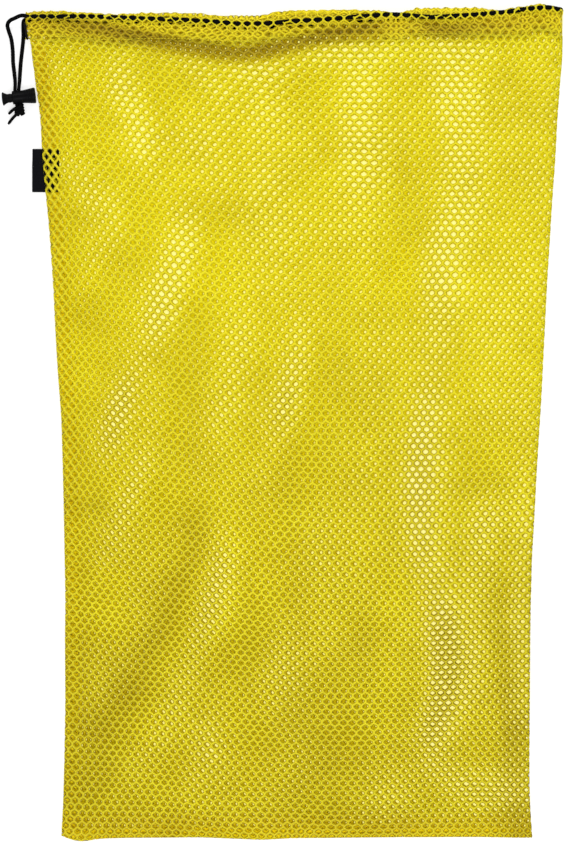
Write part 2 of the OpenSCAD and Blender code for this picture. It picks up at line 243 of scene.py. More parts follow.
_su = [0, 0.1, 0.25, 0.42, 0.58, 0.75, 0.9, 1.0]
_sy = [0, 60, 300, 440, 600, 700, 790, 850]
_sl = grid2(_su, _sy, [
    [0.08, 0.10, 0.12, 0.06, -0.02, 0.00, -0.02, -0.02],
    [0.12, 0.13, 0.14, 0.08, 0.03, 0.02, 0.03, 0.03],
    [0.12, 0.13, 0.13, 0.09, 0.02, 0.02, 0.01, 0.00],
    [0.17, 0.19, 0.17, 0.11, 0.00, 0.00, -0.02, -0.02],
    [0.15, 0.16, 0.13, 0.12, 0.03, -0.01, -0.02, -0.02],
    [0.12, 0.13, 0.11, 0.10, 0.01, -0.04, -0.03, -0.02],
    [0.05, 0.05, 0.07, 0.06, 0.00, -0.02, 0.00, 0.00],
    [0.00, 0.00, 0.02, 0.02, 0.00, 0.00, 0.00, 0.00]])
_gu = np.linspace(-0.1, 1.1, 121)
_gy = np.linspace(-80, 960, 105)
_GU, _GY = np.meshgrid(_gu, _gy)
_S = _sl(_GU, _GY) * 500
_G = np.cumsum(_S, axis=1) * (_gu[1] - _gu[0])
_G -= _G[:, [50]] + (_G[:, [60]] - _G[:, [50]]) * 1.0


def row_shift(u, y):
    iu = np.clip((u + 0.1) / 1.2 * 120, 0, 119.999)
    iy = np.clip((y + 80) / 1040 * 104, 0, 103.999)
    i, j = iu.astype(int), iy.astype(int)
    fu, fy = iu - i, iy - j
    return (_G[j, i] * (1 - fu) + _G[j, i + 1] * fu) * (1 - fy) + (_G[j + 1, i] * (1 - fu) + _G[j + 1, i + 1] * fu) * fy


N_WARP1, N_WARP2 = Noise2(11, 70), Noise2(12, 60)
N_FINE1, N_FINE2 = Noise2(13, 19), Noise2(14, 17)


_pu = np.linspace(-0.1, 1.1, 601)
_pj = np.arange(math.floor(np.interp(-70, _y, _n)), math.ceil(np.interp(120, _y, _n)), 0.25)
_PU, _PJ = np.meshgrid(_pu, _pj, indexing="ij")
_py0 = row_y(_PJ)
_py = _py0 + row_shift(_PU, _py0)
_pw = np.clip(_pu, 0, 1)
_pc = CORD_LINE(L_EDGE(20.0) + (_pw - 0.11 * np.sin(2 * math.pi * _pw) / (2 * math.pi)) * (R_EDGE(20.0) - L_EDGE(20.0)))
_pjc = np.array([np.interp(c, row, _pj) for c, row in zip(_pc, _py)])


def hem_pull(u, j):
    """Near the mouth the cord gathers the nearest row of holes onto its own line."""
    jc = np.interp(u, _pu, _pjc)
    w = np.exp(-np.abs((j - jc) / 2.2) ** 3)
    f = jc - np.round(jc)
    return w * 0.95 * f * (1 - np.abs(2 * f) ** 4)


def lattice_to_grid(i, j):
    """Lattice coordinates (column, row) to the drawing grid, for the relaxed net."""
    u = i / NC
    j = j + hem_pull(u, j)
    y0 = row_y(j)
    gy = y0 + row_shift(u, y0)
    l, r = L_EDGE(gy), R_EDGE(gy)
    k = 0.035 + 0.075 * (1 - smooth((gy - 60) / 420))
    gx = l + (u - k * np.sin(2 * math.pi * u) / (2 * math.pi)) * (r - l)
    edge = smooth(np.minimum(u, 1 - u) / 0.08)
    calm = edge * (0.35 + 0.65 * smooth((gy - 26) / 24))
    gx2 = gx + edge * (1.6 * N_WARP1(gx, gy) + 0.5 * N_FINE1(gx, gy))
    gy2 = gy + calm * (1.3 * N_WARP2(gx, gy) + 0.4 * N_FINE2(gx, gy))
    return gx2, gy2


# ------------------------------------------------------------------ see-through streaks between the two leaves
# strokes: points (x, y, level) and width; the level runs from one point to the next
STREAKS = [
    ([(60, 135, 0.45), (70, 162, 0.60), (86, 188, 0.66), (108, 206, 0.62), (110, 232, 0.60), (94, 256, 0.55),
      (80, 282, 0.46)], 13),
    ([(108, 46, 0.45), (117, 66, 0.68), (122, 90, 0.82), (134, 116, 0.72), (141, 142, 0.80), (146, 172, 0.52),
      (150, 196, 0.42)], 11),
    ([(52, 50, 0.45), (60, 72, 0.62), (78, 96, 0.46)], 11), ([(160, 44, 0.44), (186, 58, 0.64), (206, 80, 0.68),
                                                              (226, 100, 0.60), (232, 130, 0.52)], 11),
    ([(232, 70, 0.66), (250, 70, 0.84), (272, 72, 0.72), (290, 66, 0.56)], 9),
    ([(200, 90, 0.50), (206, 140, 0.56), (222, 190, 0.50), (236, 214, 0.40)], 22),
    ([(262, 76, 0.60), (263, 140, 0.60), (266, 196, 0.62), (270, 240, 0.52), (276, 300, 0.46)], 17),
    ([(308, 54, 0.68), (328, 51, 0.86), (348, 52, 0.90), (372, 58, 0.80), (392, 52, 0.52)], 8),
    ([(352, 60, 0.70), (359, 84, 0.88), (360, 130, 0.86), (361, 172, 0.84), (358, 196, 0.66), (352, 228, 0.52),
      (344, 262, 0.42)], 14),
    ([(430, 50, 0.60), (440, 50, 0.92), (456, 54, 0.96), (478, 52, 0.80), (498, 54, 0.50)], 8),
    ([(450, 62, 0.82), (460, 100, 0.90), (463, 140, 0.84), (462, 180, 0.80), (457, 214, 0.84), (446, 246, 0.84),
      (441, 284, 0.76), (437, 326, 0.62), (434, 356, 0.56), (428, 392, 0.62), (422, 428, 0.74), (419, 470, 0.82),
      (419, 512, 0.78), (422, 548, 0.72), (430, 580, 0.64), (440, 610, 0.78), (445, 640, 0.92), (447, 668, 0.98),
      (446, 692, 0.92), (440, 716, 0.78), (430, 738, 0.68), (432, 762, 0.56), (450, 782, 0.58), (478, 794, 0.64),
      (500, 792, 0.62), (524, 786, 0.52)], 15),
    ([(458, 612, 0.50), (462, 650, 0.70), (462, 690, 0.70), (450, 724, 0.56)], 15),
    ([(184, 196, 0.46), (183, 222, 0.68), (179, 248, 0.82), (171, 272, 0.88), (163, 298, 0.96), (155, 322, 0.82),
      (146, 346, 0.62), (136, 368, 0.60), (126, 388, 0.70), (119, 406, 0.84), (110, 434, 0.72), (99, 464, 0.54),
      (92, 484, 0.42)], 12),
    ([(152, 372, 0.50), (147, 440, 0.54), (140, 466, 0.62), (127, 498, 0.66), (118, 522, 0.62), (106, 552, 0.54),
      (96, 582, 0.44)], 10),
    ([(244, 296, 0.44), (241, 330, 0.62), (233, 366, 0.62), (224, 404, 0.60), (212, 446, 0.50), (202, 486, 0.42)], 13),
    ([(303, 292, 0.44), (299, 330, 0.58), (293, 366, 0.68), (284, 400, 0.72), (275, 432, 0.58), (264, 460, 0.46)], 12),
    ([(223, 512, 0.42), (222, 546, 0.62), (220, 576, 0.76), (212, 606, 0.68), (200, 636, 0.60), (187, 674, 0.52),
      (174, 704, 0.52), (156, 738, 0.47), (138, 768, 0.46), (118, 796, 0.40)], 12),
    ([(214, 694, 0.44), (211, 728, 0.54), (204, 752, 0.66), (194, 774, 0.56), (178, 796, 0.46)], 12),
    ([(150, 262, 0.50), (152, 300, 0.56), (140, 340, 0.50)], 14),
    ([(104, 608, 0.40), (98, 650, 0.44), (100, 694, 0.48), (84, 716, 0.40)], 13),
    ([(282, 630, 0.42), (282, 668, 0.50), (274, 704, 0.44)], 17), ([(312, 520, 0.42), (324, 560, 0.46),
                                                                    (320, 620, 0.42)], 22),
    ([(516, 210, 0.44), (506, 270, 0.54), (498, 340, 0.50), (508, 410, 0.46)], 24),
    ([(474, 486, 0.42), (484, 520, 0.62), (480, 556, 0.60), (470, 590, 0.52), (464, 620, 0.56)], 14),
    ([(522, 470, 0.50), (520, 560, 0.58), (520, 640, 0.60), (520, 720, 0.56)], 9),
    ([(500, 100, 0.52), (520, 160, 0.46), (540, 90, 0.46)], 20), ([(372, 340, 0.44), (372, 410, 0.42)], 10),
    ([(176, 500, 0.40), (140, 620, 0.42)], 12), ([(300, 60, 0.44), (304, 130, 0.46), (300, 200, 0.44)], 16),
    ([(388, 740, 0.40), (392, 790, 0.46)], 20),
]
# where the two leaves' nets cover each other's holes
DENSE = [
    ([(82, 76, 0.34), (92, 128, 0.30), (100, 156, 0.36)], 10), ([(150, 88, 0.30), (168, 84, 0.22), (186, 96, 0.26)], 13),
    ([(298, 82, 0.24), (300, 100, 0.26)], 10), ([(142, 204, 0.30), (140, 238, 0.14), (138, 264, 0.26)], 10),
    ([(214, 214, 0.28), (208, 260, 0.22), (200, 306, 0.18), (190, 352, 0.24), (182, 406, 0.22), (174, 462, 0.22),
      (162, 512, 0.24)], 13),
    ([(108, 282, 0.28), (96, 316, 0.22), (82, 342, 0.34)], 11),
    ([(322, 316, 0.30), (321, 360, 0.16), (319, 410, 0.14), (313, 444, 0.18), (298, 478, 0.20), (284, 520, 0.20),
      (268, 570, 0.26), (258, 610, 0.24), (246, 656, 0.18)], 15),
    ([(342, 340, 0.24), (340, 420, 0.24)], 13), ([(403, 160, 0.30), (400, 240, 0.20), (402, 292, 0.26)], 12),
    ([(490, 436, 0.30), (468, 476, 0.24)], 13),
    ([(196, 516, 0.28), (186, 556, 0.18), (179, 592, 0.12), (168, 632, 0.22), (157, 660, 0.22), (142, 708, 0.18),
      (120, 736, 0.22), (102, 764, 0.22), (86, 796, 0.18)], 11),
    ([(350, 640, 0.26), (342, 700, 0.20), (344, 744, 0.24), (334, 792, 0.18), (318, 820, 0.10)], 21),
    ([(500, 590, 0.32), (498, 670, 0.30)], 9), ([(58, 206, 0.12), (60, 262, 0.16)], 10),
    ([(420, 80, 0.36), (424, 170, 0.34), (418, 230, 0.32)], 12), ([(318, 90, 0.30), (322, 150, 0.36)], 10),
]


def near(px, py, pts):
    """Distance to a line of points, and the level there."""
    d = np.full(px.shape, 1e9)
    v = np.zeros(px.shape)
    for (x0, y0, v0), (x1, y1, v1) in zip(pts[:-1], pts[1:]):
        dx, dy = x1 - x0, y1 - y0
        t = np.clip(((px - x0) * dx + (py - y0) * dy) / (dx * dx + dy * dy), 0, 1)
        e = np.hypot(px - x0 - t * dx, py - y0 - t * dy)
        v = np.where(e < d, v0 + (v1 - v0) * t, v)
        d = np.minimum(d, e)
    return d, v


def poly_dist(px, py, pts):
    return near(px, py, [(x, y, 0.0) for x, y in pts])[0]


N_STR, N_STR2 = Noise2(31, 34), Noise2(32, 15)


def paleness(gx, gy):
    """How far the holes of both leaves line up, 0 to 1."""
    gx, gy = np.asarray(gx, float), np.asarray(gy, float)
    base = 0.42 - 0.03 * smooth((gy - 200) / 180) - 0.04 * smooth((gy - 480) / 200)
    up, dn = np.zeros(gx.shape), np.zeros(gx.shape)
    for pts, w in STREAKS:
        d, v = near(gx, gy, pts)
        up = np.maximum(up, (v - base) * np.exp(-0.5 * (d / w) ** 2))
    for pts, w in DENSE:
        d, v = near(gx, gy, pts)
        dn = np.maximum(dn, (base - v) * np.exp(-0.5 * (d / w) ** 2))
    side = 0.3 * np.exp(-((gx - L_EDGE(gy)) / 12.0) ** 2)
    return np.clip(base + up - dn * (1 - smooth(up / 0.2)) - side + 0.04 * N_STR(gx, gy) + 0.03 * N_STR2(gx, gy), 0, 1)


N_BK1, N_BK2 = Noise2(41, 46), Noise2(42, 38)


def back_offset(gx, gy):
    """How far the back leaf's net lies from the front one's, in grid units."""
    p = paleness(gx, gy) * smooth((gy - T_EDGE(np.minimum(gx, 566)) - HEM_H + 4) / 9)
    p = p * (1 - 0.95 * np.clip(SINK(gx) / 2.6, 0, 1) * band(gx, gy))
    pitch = (R_EDGE(gy) - L_EDGE(gy)) / NC
    k = smooth((p - 0.12) / 0.78) * 0.95
    dx = pitch * 0.5 * (1 - k) + 0.5 * N_BK1(gx, gy) * (1 - 0.7 * k)
    dy = 1.0 * N_BK2(gx, gy) * (1 - 0.75 * k) + 0.5 * (1 - k)
    return dx, dy


# ------------------------------------------------------------------ heights (metres)
XL_MM, XR_MM = -241.7, 238.5
END_GAP, HEM_T, MOUTH_GAP = 1.4, 5.0, 5.0


def hem_base(gx):
    """Inner face of the front hem above the floor, in mm, as in the CAD."""
    x = (np.asarray(gx, float) - 294) * 0.905
    return HEM_T + END_GAP + (MOUTH_GAP - END_GAP) * np.minimum(smooth((x - XL_MM) / 60), smooth((XR_MM - x) / 60))


def lookup(d, tab):
    return np.interp(d, [t[0] for t in tab], [t[1] for t in tab])


EDGE_SEWN = [(0, 0), (4, 0.26), (9, 0.47), (16, 0.68), (24, 0.84), (34, 0.95), (46, 1)]
EDGE_FOLD = [(0, 0), (1.2, 0.2), (3, 0.36), (6, 0.54), (10, 0.7), (16, 0.85), (24, 0.95), (40, 1)]
LEAF_H = 11.2

# the valley under the mouth: its line, and how deep the cloth sinks there in mm
VALLEY = Curve1([(20, 18), (60, 23), (95, 27), (142, 36), (189, 46), (233, 52), (256, 51), (284, 45), (323, 35),
                 (380, 27), (405, 25), (422, 26), (440, 29), (455, 29), (480, 26), (520, 22), (566, 18)], 5)
SINK = Curve1([(20, 0.2), (50, 0.9), (80, 1.9), (110, 2.9), (200, 3.2), (270, 3.2), (330, 3.0), (370, 2.2), (392, 0.9),
               (418, 0.8), (428, 2.6), (456, 2.4), (480, 1.4), (520, 0.8), (566, 0.2)], 5)


def band(gx, gy):
    """1 along the valley, sharper on the mouth's side."""
    d = gy - VALLEY(gx)
    return np.exp(-np.abs(d / np.where(d < 0, 5.5, 11.0)) ** 2.3)


def sink(gx, gy):
    return SINK(gx) * band(gx, gy)


N_T1, N_T2 = Noise2(61, 34), Noise2(62, 90)
# painted shade along folds and sagging stretches of the cloth, and painted light where the depth is negative: points,
# width, depth of painted shade
PAINTED_FOLD_SHADE = [
    ([(196, 540), (176, 590), (156, 640), (127, 690)], 9, 0.20), ([(127, 690), (98, 735), (82, 800)], 16, 0.28),
    ([(104, 700), (104, 780)], 14, 0.10), ([(206, 560), (160, 690), (140, 740), (96, 826)], 7, -0.12),
    ([(512, 640), (514, 720)], 12, 0.30), ([(514, 735), (510, 790), (524, 830)], 14, 0.60),
    ([(537, 735), (538, 768)], 7, -0.40), ([(498, 610), (506, 690)], 10, 0.20),
    ([(486, 640), (498, 780), (504, 820)], 6, -0.10), ([(66, 506), (108, 507)], 6, 0.18),
    ([(450, 486), (498, 480)], 7, 0.16), ([(452, 516), (500, 518)], 12, -0.08), ([(310, 760), (346, 800)], 30, 0.16),
    ([(194, 452), (190, 525)], 8, 0.10), ([(190, 806), (246, 806)], 9, -0.10), ([(250, 814), (470, 824)], 10, 0.16),
    ([(80, 826), (180, 828)], 8, 0.16), ([(388, 250), (386, 460)], 5, 0.10), ([(405, 100), (400, 240)], 5, 0.06),
    ([(176, 610), (150, 650)], 10, 0.10), ([(252, 640), (246, 790)], 9, 0.04), ([(300, 330), (318, 470)], 14, -0.05),
    ([(238, 540), (226, 600), (228, 660), (234, 720)], 13, -0.20), ([(114, 585), (106, 622)], 13, -0.25),
    ([(396, 590), (390, 720)], 15, -0.22), ([(436, 220), (440, 380)], 13, 0.12), ([(270, 540), (272, 620)], 14, -0.14),
]


def painted_shade_and_mottle(gx, gy):
    """Painted shade on the net, 0 for plain yellow and below 0 for painted light, with a little random mottle:
    multiplied into the yarn.
    """
    top = T_EDGE(np.minimum(gx, 566))
    gyp = top + np.abs(gy - top)
    # painted shade in the valley under the mouth
    t = 0.125 * SINK(gx) * band(gx, gyp)
    # painted light on the hem near the mouth's edge
    t = t - 0.085 * (1 - smooth((gyp - top - 7) / 20))
    # painted shade and painted light along the folds
    for pts, w, a in PAINTED_FOLD_SHADE:
        t = t + 0.21 * a * np.exp(-0.5 * (poly_dist(gx, gyp, pts) / w) ** 2)
    t = t + 0.025 * N_T1(gx, gyp) + 0.02 * N_T2(gx, gyp)
    return np.clip(t, -0.15, 0.55)


def warm(gx, gy):
    """How much the yarn leans to orange, painted shade: in the hem, the valley, and along the left and bottom edges,
    where the cloth lies doubled and in shade.
    """
    top = T_EDGE(np.minimum(gx, 566))
    gyp = top + np.abs(gy - top)
    w = 0.045 * (1 - smooth((gyp - top - 12) / 22)) + 0.028 * SINK(gx) / 3 * band(gx, gyp)
    w = w + 0.035 * (1 - smooth((gx - L_EDGE(gyp) - 4) / 24)) * (1 - 0.6 * smooth((gyp - 100) / 200))
    w = w + 0.03 * smooth((gyp - 810) / 14)
    return np.clip(w, 0, 0.2)


# soft creases of the front leaf: points, width, height in mm (negative is a valley)
CREASES = [
    ([(385, 46), (386, 120), (385, 240), (388, 340), (384, 440)], 5.0, 1.5),
    ([(376, 50), (376, 240), (378, 430)], 7.0, -0.9),
    ([(78, 492), (92, 499), (112, 497)], 4, 1.1),
    ([(448, 492), (480, 487), (516, 491)], 4, 1.3),
    ([(448, 498), (480, 494), (516, 498)], 4, -0.9),
    ([(260, 80), (210, 200), (160, 330), (110, 460)], 26, 1.3),
    ([(300, 90), (270, 250), (240, 420), (200, 600)], 24, -1.1),
    ([(330, 80), (325, 260), (330, 460), (320, 700)], 26, 1.1),
    ([(410, 70), (440, 220), (470, 380), (500, 520)], 24, 1.2),
    ([(440, 90), (420, 260), (400, 420), (390, 640)], 22, -1.0),
    ([(120, 80), (100, 180), (84, 300)], 22, -1.0),
    ([(500, 80), (520, 200), (516, 340)], 18, -1.2),
]
N_H1, N_H2, N_H3 = Noise2(21, 130), Noise2(22, 60), Noise2(23, 26)


def front_leaf_mm(gx, gy):
    """Middle surface of the front leaf, below the hem, in mm."""
    dl = (gx - L_EDGE(gy)) * 0.905
    dr = (R_EDGE(gy) - gx) * 0.905
    db = (B_EDGE(gx) - gy) * 0.905
    h = LEAF_H + 0.9 * N_H1(gx, gy) + 0.7 * N_H2(gx, gy) + 0.25 * N_H3(gx, gy)
    for pts, w, a in CREASES:
        h = h + a * np.exp(-0.5 * (poly_dist(gx, gy, pts) / w) ** 2)
    h = h - 2.7 * smooth((((200 - gx) * 0.90 + (gy - 520) * 0.42) + 8) / 46) * smooth((gy - 470) / 110)
    h = h - 2.6 * smooth(((gx - 486) * 0.95 - (830 - gy) * 0.12 + 12) / 40) * smooth((gy - 610) / 110)
    h = h - 1.1 * np.exp(-0.5 * ((gx - 330) / 46) ** 2) * smooth((gy - 660) / 130)
    s0 = 2.7
    zl = mix(s0, h, lookup(dl, EDGE_SEWN))
    zr = mix(1.35, h, lookup(dr, EDGE_FOLD))
    zb = mix(s0, h, lookup(db, EDGE_SEWN))
    a = np.minimum(zl, zr)
    # smooth minimum with the bottom ramp
    k = 1.2
    t = np.clip(0.5 + 0.5 * (zb - a) / k, 0, 1)
    return mix(zb, a, t) - k * t * (1 - t)


FLAT_Z, HIGH_Z, BUMP = 0.55, 1.75, 2.75
RHO = 0.6  # radius of the fold at the mouth's edge, mm


def cord_depth(gx):
    """Depth of the drawcord below the mouth's edge, mm."""
    return np.maximum((CORD_LINE(gx) - T_EDGE(gx)) * 0.905, 2.9)


def hem_profile(gx, s):
    """s: mm from the fold along the cloth, below 0 on the bulging layer and above 0 on the flat one.
    Returns the depth v below the edge, and the offset n from the hem's base."""
    sa = np.abs(s)
    q = RHO * math.pi / 2
    th = np.clip(s / RHO, -math.pi / 2, math.pi / 2)
    v = np.where(sa <= q, RHO * (1 - np.cos(th)), RHO + sa - q)
    mid = (FLAT_Z + HIGH_Z) / 2
    base = mid - (HIGH_Z - FLAT_Z) / 2 * np.sin(th)
    vc = cord_depth(gx)
    d = v - vc
    b = np.exp(-np.abs(d / np.where(d < 0, 2.7, 3.1)) ** 3.2) * smooth(v / 0.9)
    pinch = np.exp(-0.5 * ((v - 24.0) / 1.3) ** 2)
    up = (s < 0)
    n = base + np.where(up, BUMP * b - 0.35 * pinch, 0.0)
    return v, n


GXR = 294 + XR_MM / 0.905  # start of the turn at the folded edge
TURN_LEN = 8.0             # grid units of cloth in a quarter turn


def place_front(gx, gy):
    """Grid point of the unfolded front cloth to the row frame; gy above the mouth's edge folds inside."""
    top = T_EDGE(np.minimum(gx, 566))
    s = (top - gy) * 0.905
    hemz = hem_base(np.minimum(gx, GXR))
    v, n = hem_profile(gx, s)
    w = smooth((v - 25.5) / 32)
    z_hem = hemz + n
    z_leaf = front_leaf_mm(gx, gy)
    on_leaf = s < -20
    z = np.where(on_leaf, mix(z_hem, z_leaf, np.where(on_leaf, w, 0)), z_hem)
    gy_p = top + v / 0.905
    z = np.maximum(z - sink(gx, gy_p), 3.3 + 0.4 * (s < 0))
    # the turn around the folded edge, fading out down the leaf
    ph = np.clip((gx - GXR) / TURN_LEN, 0, 1) * math.pi / 2
    m = np.clip((gx - GXR) / TURN_LEN, 0, 1)
    b = np.clip((n - HIGH_Z) / BUMP, 0, 1)
    n_mid = np.where(s < 0, (n + 4.45) / 2, (FLAT_Z + 3.25 - 2.7 * b) / 2)
    nn = mix(n, n_mid, m)
    xt = XR_MM + (0.7 + nn) * np.sin(ph)
    zt = 5.7 + (0.7 + nn) * np.cos(ph)
    wt = np.where(gx > GXR, 1 - smooth((v - 26) / 60), 0)
    xp = (gx - 294) * 0.905
    x = mix(xp, np.where(gx > GXR, xt, xp), wt)
    z = mix(z, np.where(gx > GXR, zt, z), wt)
    return np.stack([x * 1e-3 + SX, GY(gy_p), z * 1e-3], -1)


def back_leaf_mm(gx, gy):
    dl = (gx - L_EDGE(gy)) * 0.905
    dr = (R_EDGE(gy) - gx) * 0.905
    e = np.minimum(smooth(dl / 30), smooth(dr / 30))
    return 0.56 + e * (0.25 + 0.25 * N_H2(gx + 300, gy)) + 0.0 * dl


def place_back(gx, gy):
    """The same for the back cloth: its outer layer is the flat one, and the layer turned inside bulges."""
    top = T_EDGE(np.minimum(gx, 566))
    s = (top - gy) * 0.905
    v, n = hem_profile(gx, -s)
    w = smooth((v - 25.5) / 32)
    z_leaf = back_leaf_mm(gx, gy)
    on_leaf = s < -20
    z = np.where(on_leaf, mix(n, z_leaf, np.where(on_leaf, w, 0)), n)
    gy_p = top + v / 0.905
    m = np.clip((gx - GXR) / TURN_LEN, 0, 1)
    ph = math.pi - m * math.pi / 2
    b = np.clip((n - HIGH_Z) / BUMP, 0, 1)
    out = 5.0 - n
    n_mid = np.where(s < 0, (1.75 + 2.7 * 0 + 4.45) / 2 + 0 * n, (FLAT_Z + out) / 2)
    nn = mix(out, n_mid, m)
    xt = XR_MM + (0.7 + nn) * np.sin(ph)
    zt = 5.7 + (0.7 + nn) * np.cos(ph)
    wt = np.where(gx > GXR, 1 - smooth((v - 26) / 60), 0)
    xp = (gx - 294) * 0.905
    x = mix(xp, np.where(gx > GXR, xt, xp), wt)
    z = mix(z, np.where(gx > GXR, zt, z), wt)
    return np.stack([x * 1e-3 + SX, GY(gy_p), z * 1e-3], -1)


# ------------------------------------------------------------------ the net
LINK = 0.235      # half length of the vertical link, in rows
THICK = 0.00070   # half thickness of a strand at its ridge


def net(name, i_rng, j_rng, place, keep, clamp, offset=None, fold=None, hole=(0.60, 0.58), seed=1, thick=THICK,
        jitter=0.16, flip=False, depth=1.0, deep=0.0):
    """A knitted net as real geometry: one ring of faces around each hole, above and below."""
    i = np.arange(i_rng[0], i_rng[1] + 1)
    j = np.arange(j_rng[0], j_rng[1] + 1)
    ni, nj = len(i), len(j)
    J, I = np.meshgrid(j, i, indexing="ij")
    ic = I + 0.5 * (J % 2)

    def grid_of(a, b):
        gx, gy = lattice_to_grid(a, b)
        if offset is not None:
            dx, dy = offset(gx, gy)
            gx, gy = gx + dx, gy + dy
        return gx, gy

    rs = np.random.RandomState(seed)
    A = np.stack(grid_of(ic, J - (1 - LINK)), -1)
    B = np.stack(grid_of(ic, J + (1 - LINK)), -1)
    A += rs.uniform(-jitter, jitter, A.shape)
    B += rs.uniform(-jitter, jitter, B.shape)
    C = np.stack(grid_of(ic, J * 1.0), -1)
    # interior cells only, so that every corner exists
    ok = np.zeros((nj, ni), bool)
    ok[1:-1, 1:-1] = True
    ok &= keep(C[..., 0], C[..., 1], I, J)
    jj, ii = np.nonzero(ok)
    par = (J[jj, ii] % 2).astype(int)
    rt, lf = ii + par, ii + par - 1
    idA = lambda a, b: a * ni + b
    idB = lambda a, b: nj * ni + a * ni + b
    # corners in order: top, upper right, lower right, bottom, lower left, upper left
    corners = np.stack([idA(jj, ii), idB(jj - 1, rt), idA(jj + 1, rt), idB(jj, ii), idA(jj + 1, lf), idB(jj - 1, lf)], 1)
    G = np.concatenate([A.reshape(-1, 2), B.reshape(-1, 2)])
    used, inv = np.unique(corners, return_inverse=True)
    corners = inv.reshape(corners.shape)
    G = G[used]
    cen = C[jj, ii]
    nc = len(cen)
    fx, fy = hole(cen[:, 0], cen[:, 1]) if callable(hole) else (np.full(nc, hole[0]), np.full(nc, hole[1]))
    k6 = G[corners]
    own = k6.mean(1)
    d = k6 - own[:, None, :]
    side = np.stack([fx, fx * 0.98], -1)
    tip = np.stack([fy, fy], -1)
    size = np.stack([tip, side, side, tip, side, side], 1)
    var = 1 + 0.07 * rs.uniform(-1, 1, (nc, 1, 1))
    R = own[:, None, :] + d * size * var
    R = R.reshape(-1, 2)
    if clamp is not None:
        G = clamp(G)
        R = clamp(R)
    fG = fold(G) if fold is not None else G
    fR = fold(R) if fold is not None else R
    P = place(fG[:, 0], fG[:, 1])
    e = 0.6
    Px = place(fG[:, 0] + e, fG[:, 1]) - place(fG[:, 0] - e, fG[:, 1])
    Py = place(fG[:, 0], fG[:, 1] - e) - place(fG[:, 0], fG[:, 1] + e)
    n = np.cross(Px, Py)
    ln = np.linalg.norm(n, axis=1, keepdims=True)
    n = np.where(ln > 1e-12, n / np.maximum(ln, 1e-12), np.array([0, 0, 1.0]))
    th = thick(G[:, 0], G[:, 1])[:, None] if callable(thick) else thick
    h = th * (1 + 0.16 * rs.uniform(-1, 1, (len(P), 1)))
    up, dn = P + n * h, P - n * h
    ring = place(fR[:, 0], fR[:, 1])
    V = np.concatenate([up, dn, ring])
    nu = len(P)
    r0 = 2 * nu + np.arange(nc)[:, None] * 6 + np.arange(6)[None]
    k = np.arange(6)
    k2 = (k + 1) % 6
    top = np.stack([corners[:, k], r0[:, k], r0[:, k2], corners[:, k2]], -1).reshape(-1, 4)
    bot = np.stack([corners[:, k] + nu, corners[:, k2] + nu, r0[:, k2], r0[:, k]], -1).reshape(-1, 4)
    # close the outer rim
    ea, eb = corners[:, k].ravel(), corners[:, k2].ravel()
    key = ea.astype(np.int64) * (nu + 1) + eb
    rev = eb.astype(np.int64) * (nu + 1) + ea
    lone = ~np.isin(key, rev)
    ra, rb = ea[lone], eb[lone]
    rim = np.stack([ra, rb, rb + nu, ra + nu], -1)
    Q = np.concatenate([top, bot, rim])
    if flip:
        Q = Q[:, ::-1]
    ob = add_quads(name, V, Q)
    # painted shade per vertex, multiplied into the yarn: the folds' painted shade and light on the strands, and painted
    # shade on the ring at each hole's edge that deepens toward the bottom and where the two leaves' holes line up;
    # depth scales it and deep adds painted shade toward the bottom
    tg = depth * painted_shade_and_mottle(G[:, 0], G[:, 1])
    low = smooth((R[:, 1] - 260) / 460)
    pg, pr = (smooth((paleness(q[:, 0], q[:, 1]) - 0.5) / 0.4) * depth for q in (G, R))
    tg = tg + 0.09 * pg * smooth((G[:, 1] - 200) / 320) + deep * smooth((G[:, 1] - 260) / 460)
    tn = np.concatenate([tg, tg, depth * painted_shade_and_mottle(R[:, 0], R[:, 1]) + 0.07 + 0.3 * deep + (0.16 + 0.7 * deep) * low + (0.02 + 0.28 * smooth((R[:, 1] - 200) / 320)) * pr])
    at = ob.data.attributes.new("painted_shade_and_mottle", "FLOAT", "POINT")
    at.data.foreach_set("value", tn.astype(np.float32))
    # orange lean per vertex: painted shade
    wa = warm(np.concatenate([G[:, 0], G[:, 0], R[:, 0]]), np.concatenate([G[:, 1], G[:, 1], R[:, 1]]))
    at = ob.data.attributes.new("warm", "FLOAT", "POINT")
    at.data.foreach_set("value", wa.astype(np.float32))
    ob["net_cells"] = int(nc)
    return ob


def clamp_leaf(G):
    gx, gy = G[:, 0].copy(), G[:, 1].copy()
    gy = np.minimum(gy, B_EDGE(gx) - 0.2)
    gx = np.clip(gx, L_EDGE(gy) + 0.2, R_EDGE(gy) + 0.6)
    return np.stack([gx, gy], -1)


def hem_line(gx):
    return T_EDGE(gx) + HEM_H


J_TOP = int(math.floor(np.interp(-60, _y, _n)))
J_BOT = int(math.ceil(np.interp(890, _y, _n)))


def in_sides(I, lo=-0.5, hi=0.5):
    return (I >= lo) & (I <= NC + hi)


def keep_leaf(gx, gy, I, J):
    return (gy > hem_line(gx)) & (gy < B_EDGE(gx) + 2.2) & (I >= 0) & (I + 0.5 * (J % 2) <= NC + 0.2)


def keep_hem(gx, gy, I, J):
    return (gy <= hem_line(gx)) & (gy > T_EDGE(gx) - HEM_H + 1.5) & (I >= 0) & (I + 0.5 * (J % 2) <= NC + 0.2)


def hem_holes(gx, gy):
    """Holes of the front hem: stretched wide where the cloth is drawn over the cord, tighter inside."""
    d = gy - CORD_LINE(gx)
    over = np.exp(-np.abs(d / 8.0) ** 4) * (gy > T_EDGE(gx) + 0.5)
    out = gy > T_EDGE(gx) + 0.5
    return (np.where(out, 0.60, 0.50) + 0.19 * over, np.where(out, 0.60, 0.48) + 0.25 * over)


def tall(gx, gy):
    """1 near the sewn side, where the net is stretched along the edge."""
    return np.exp(-((gx - L_EDGE(gy)) / 26.0) ** 2) * smooth((gy - 50) / 60) * (1 - smooth((gy - 430) / 200))


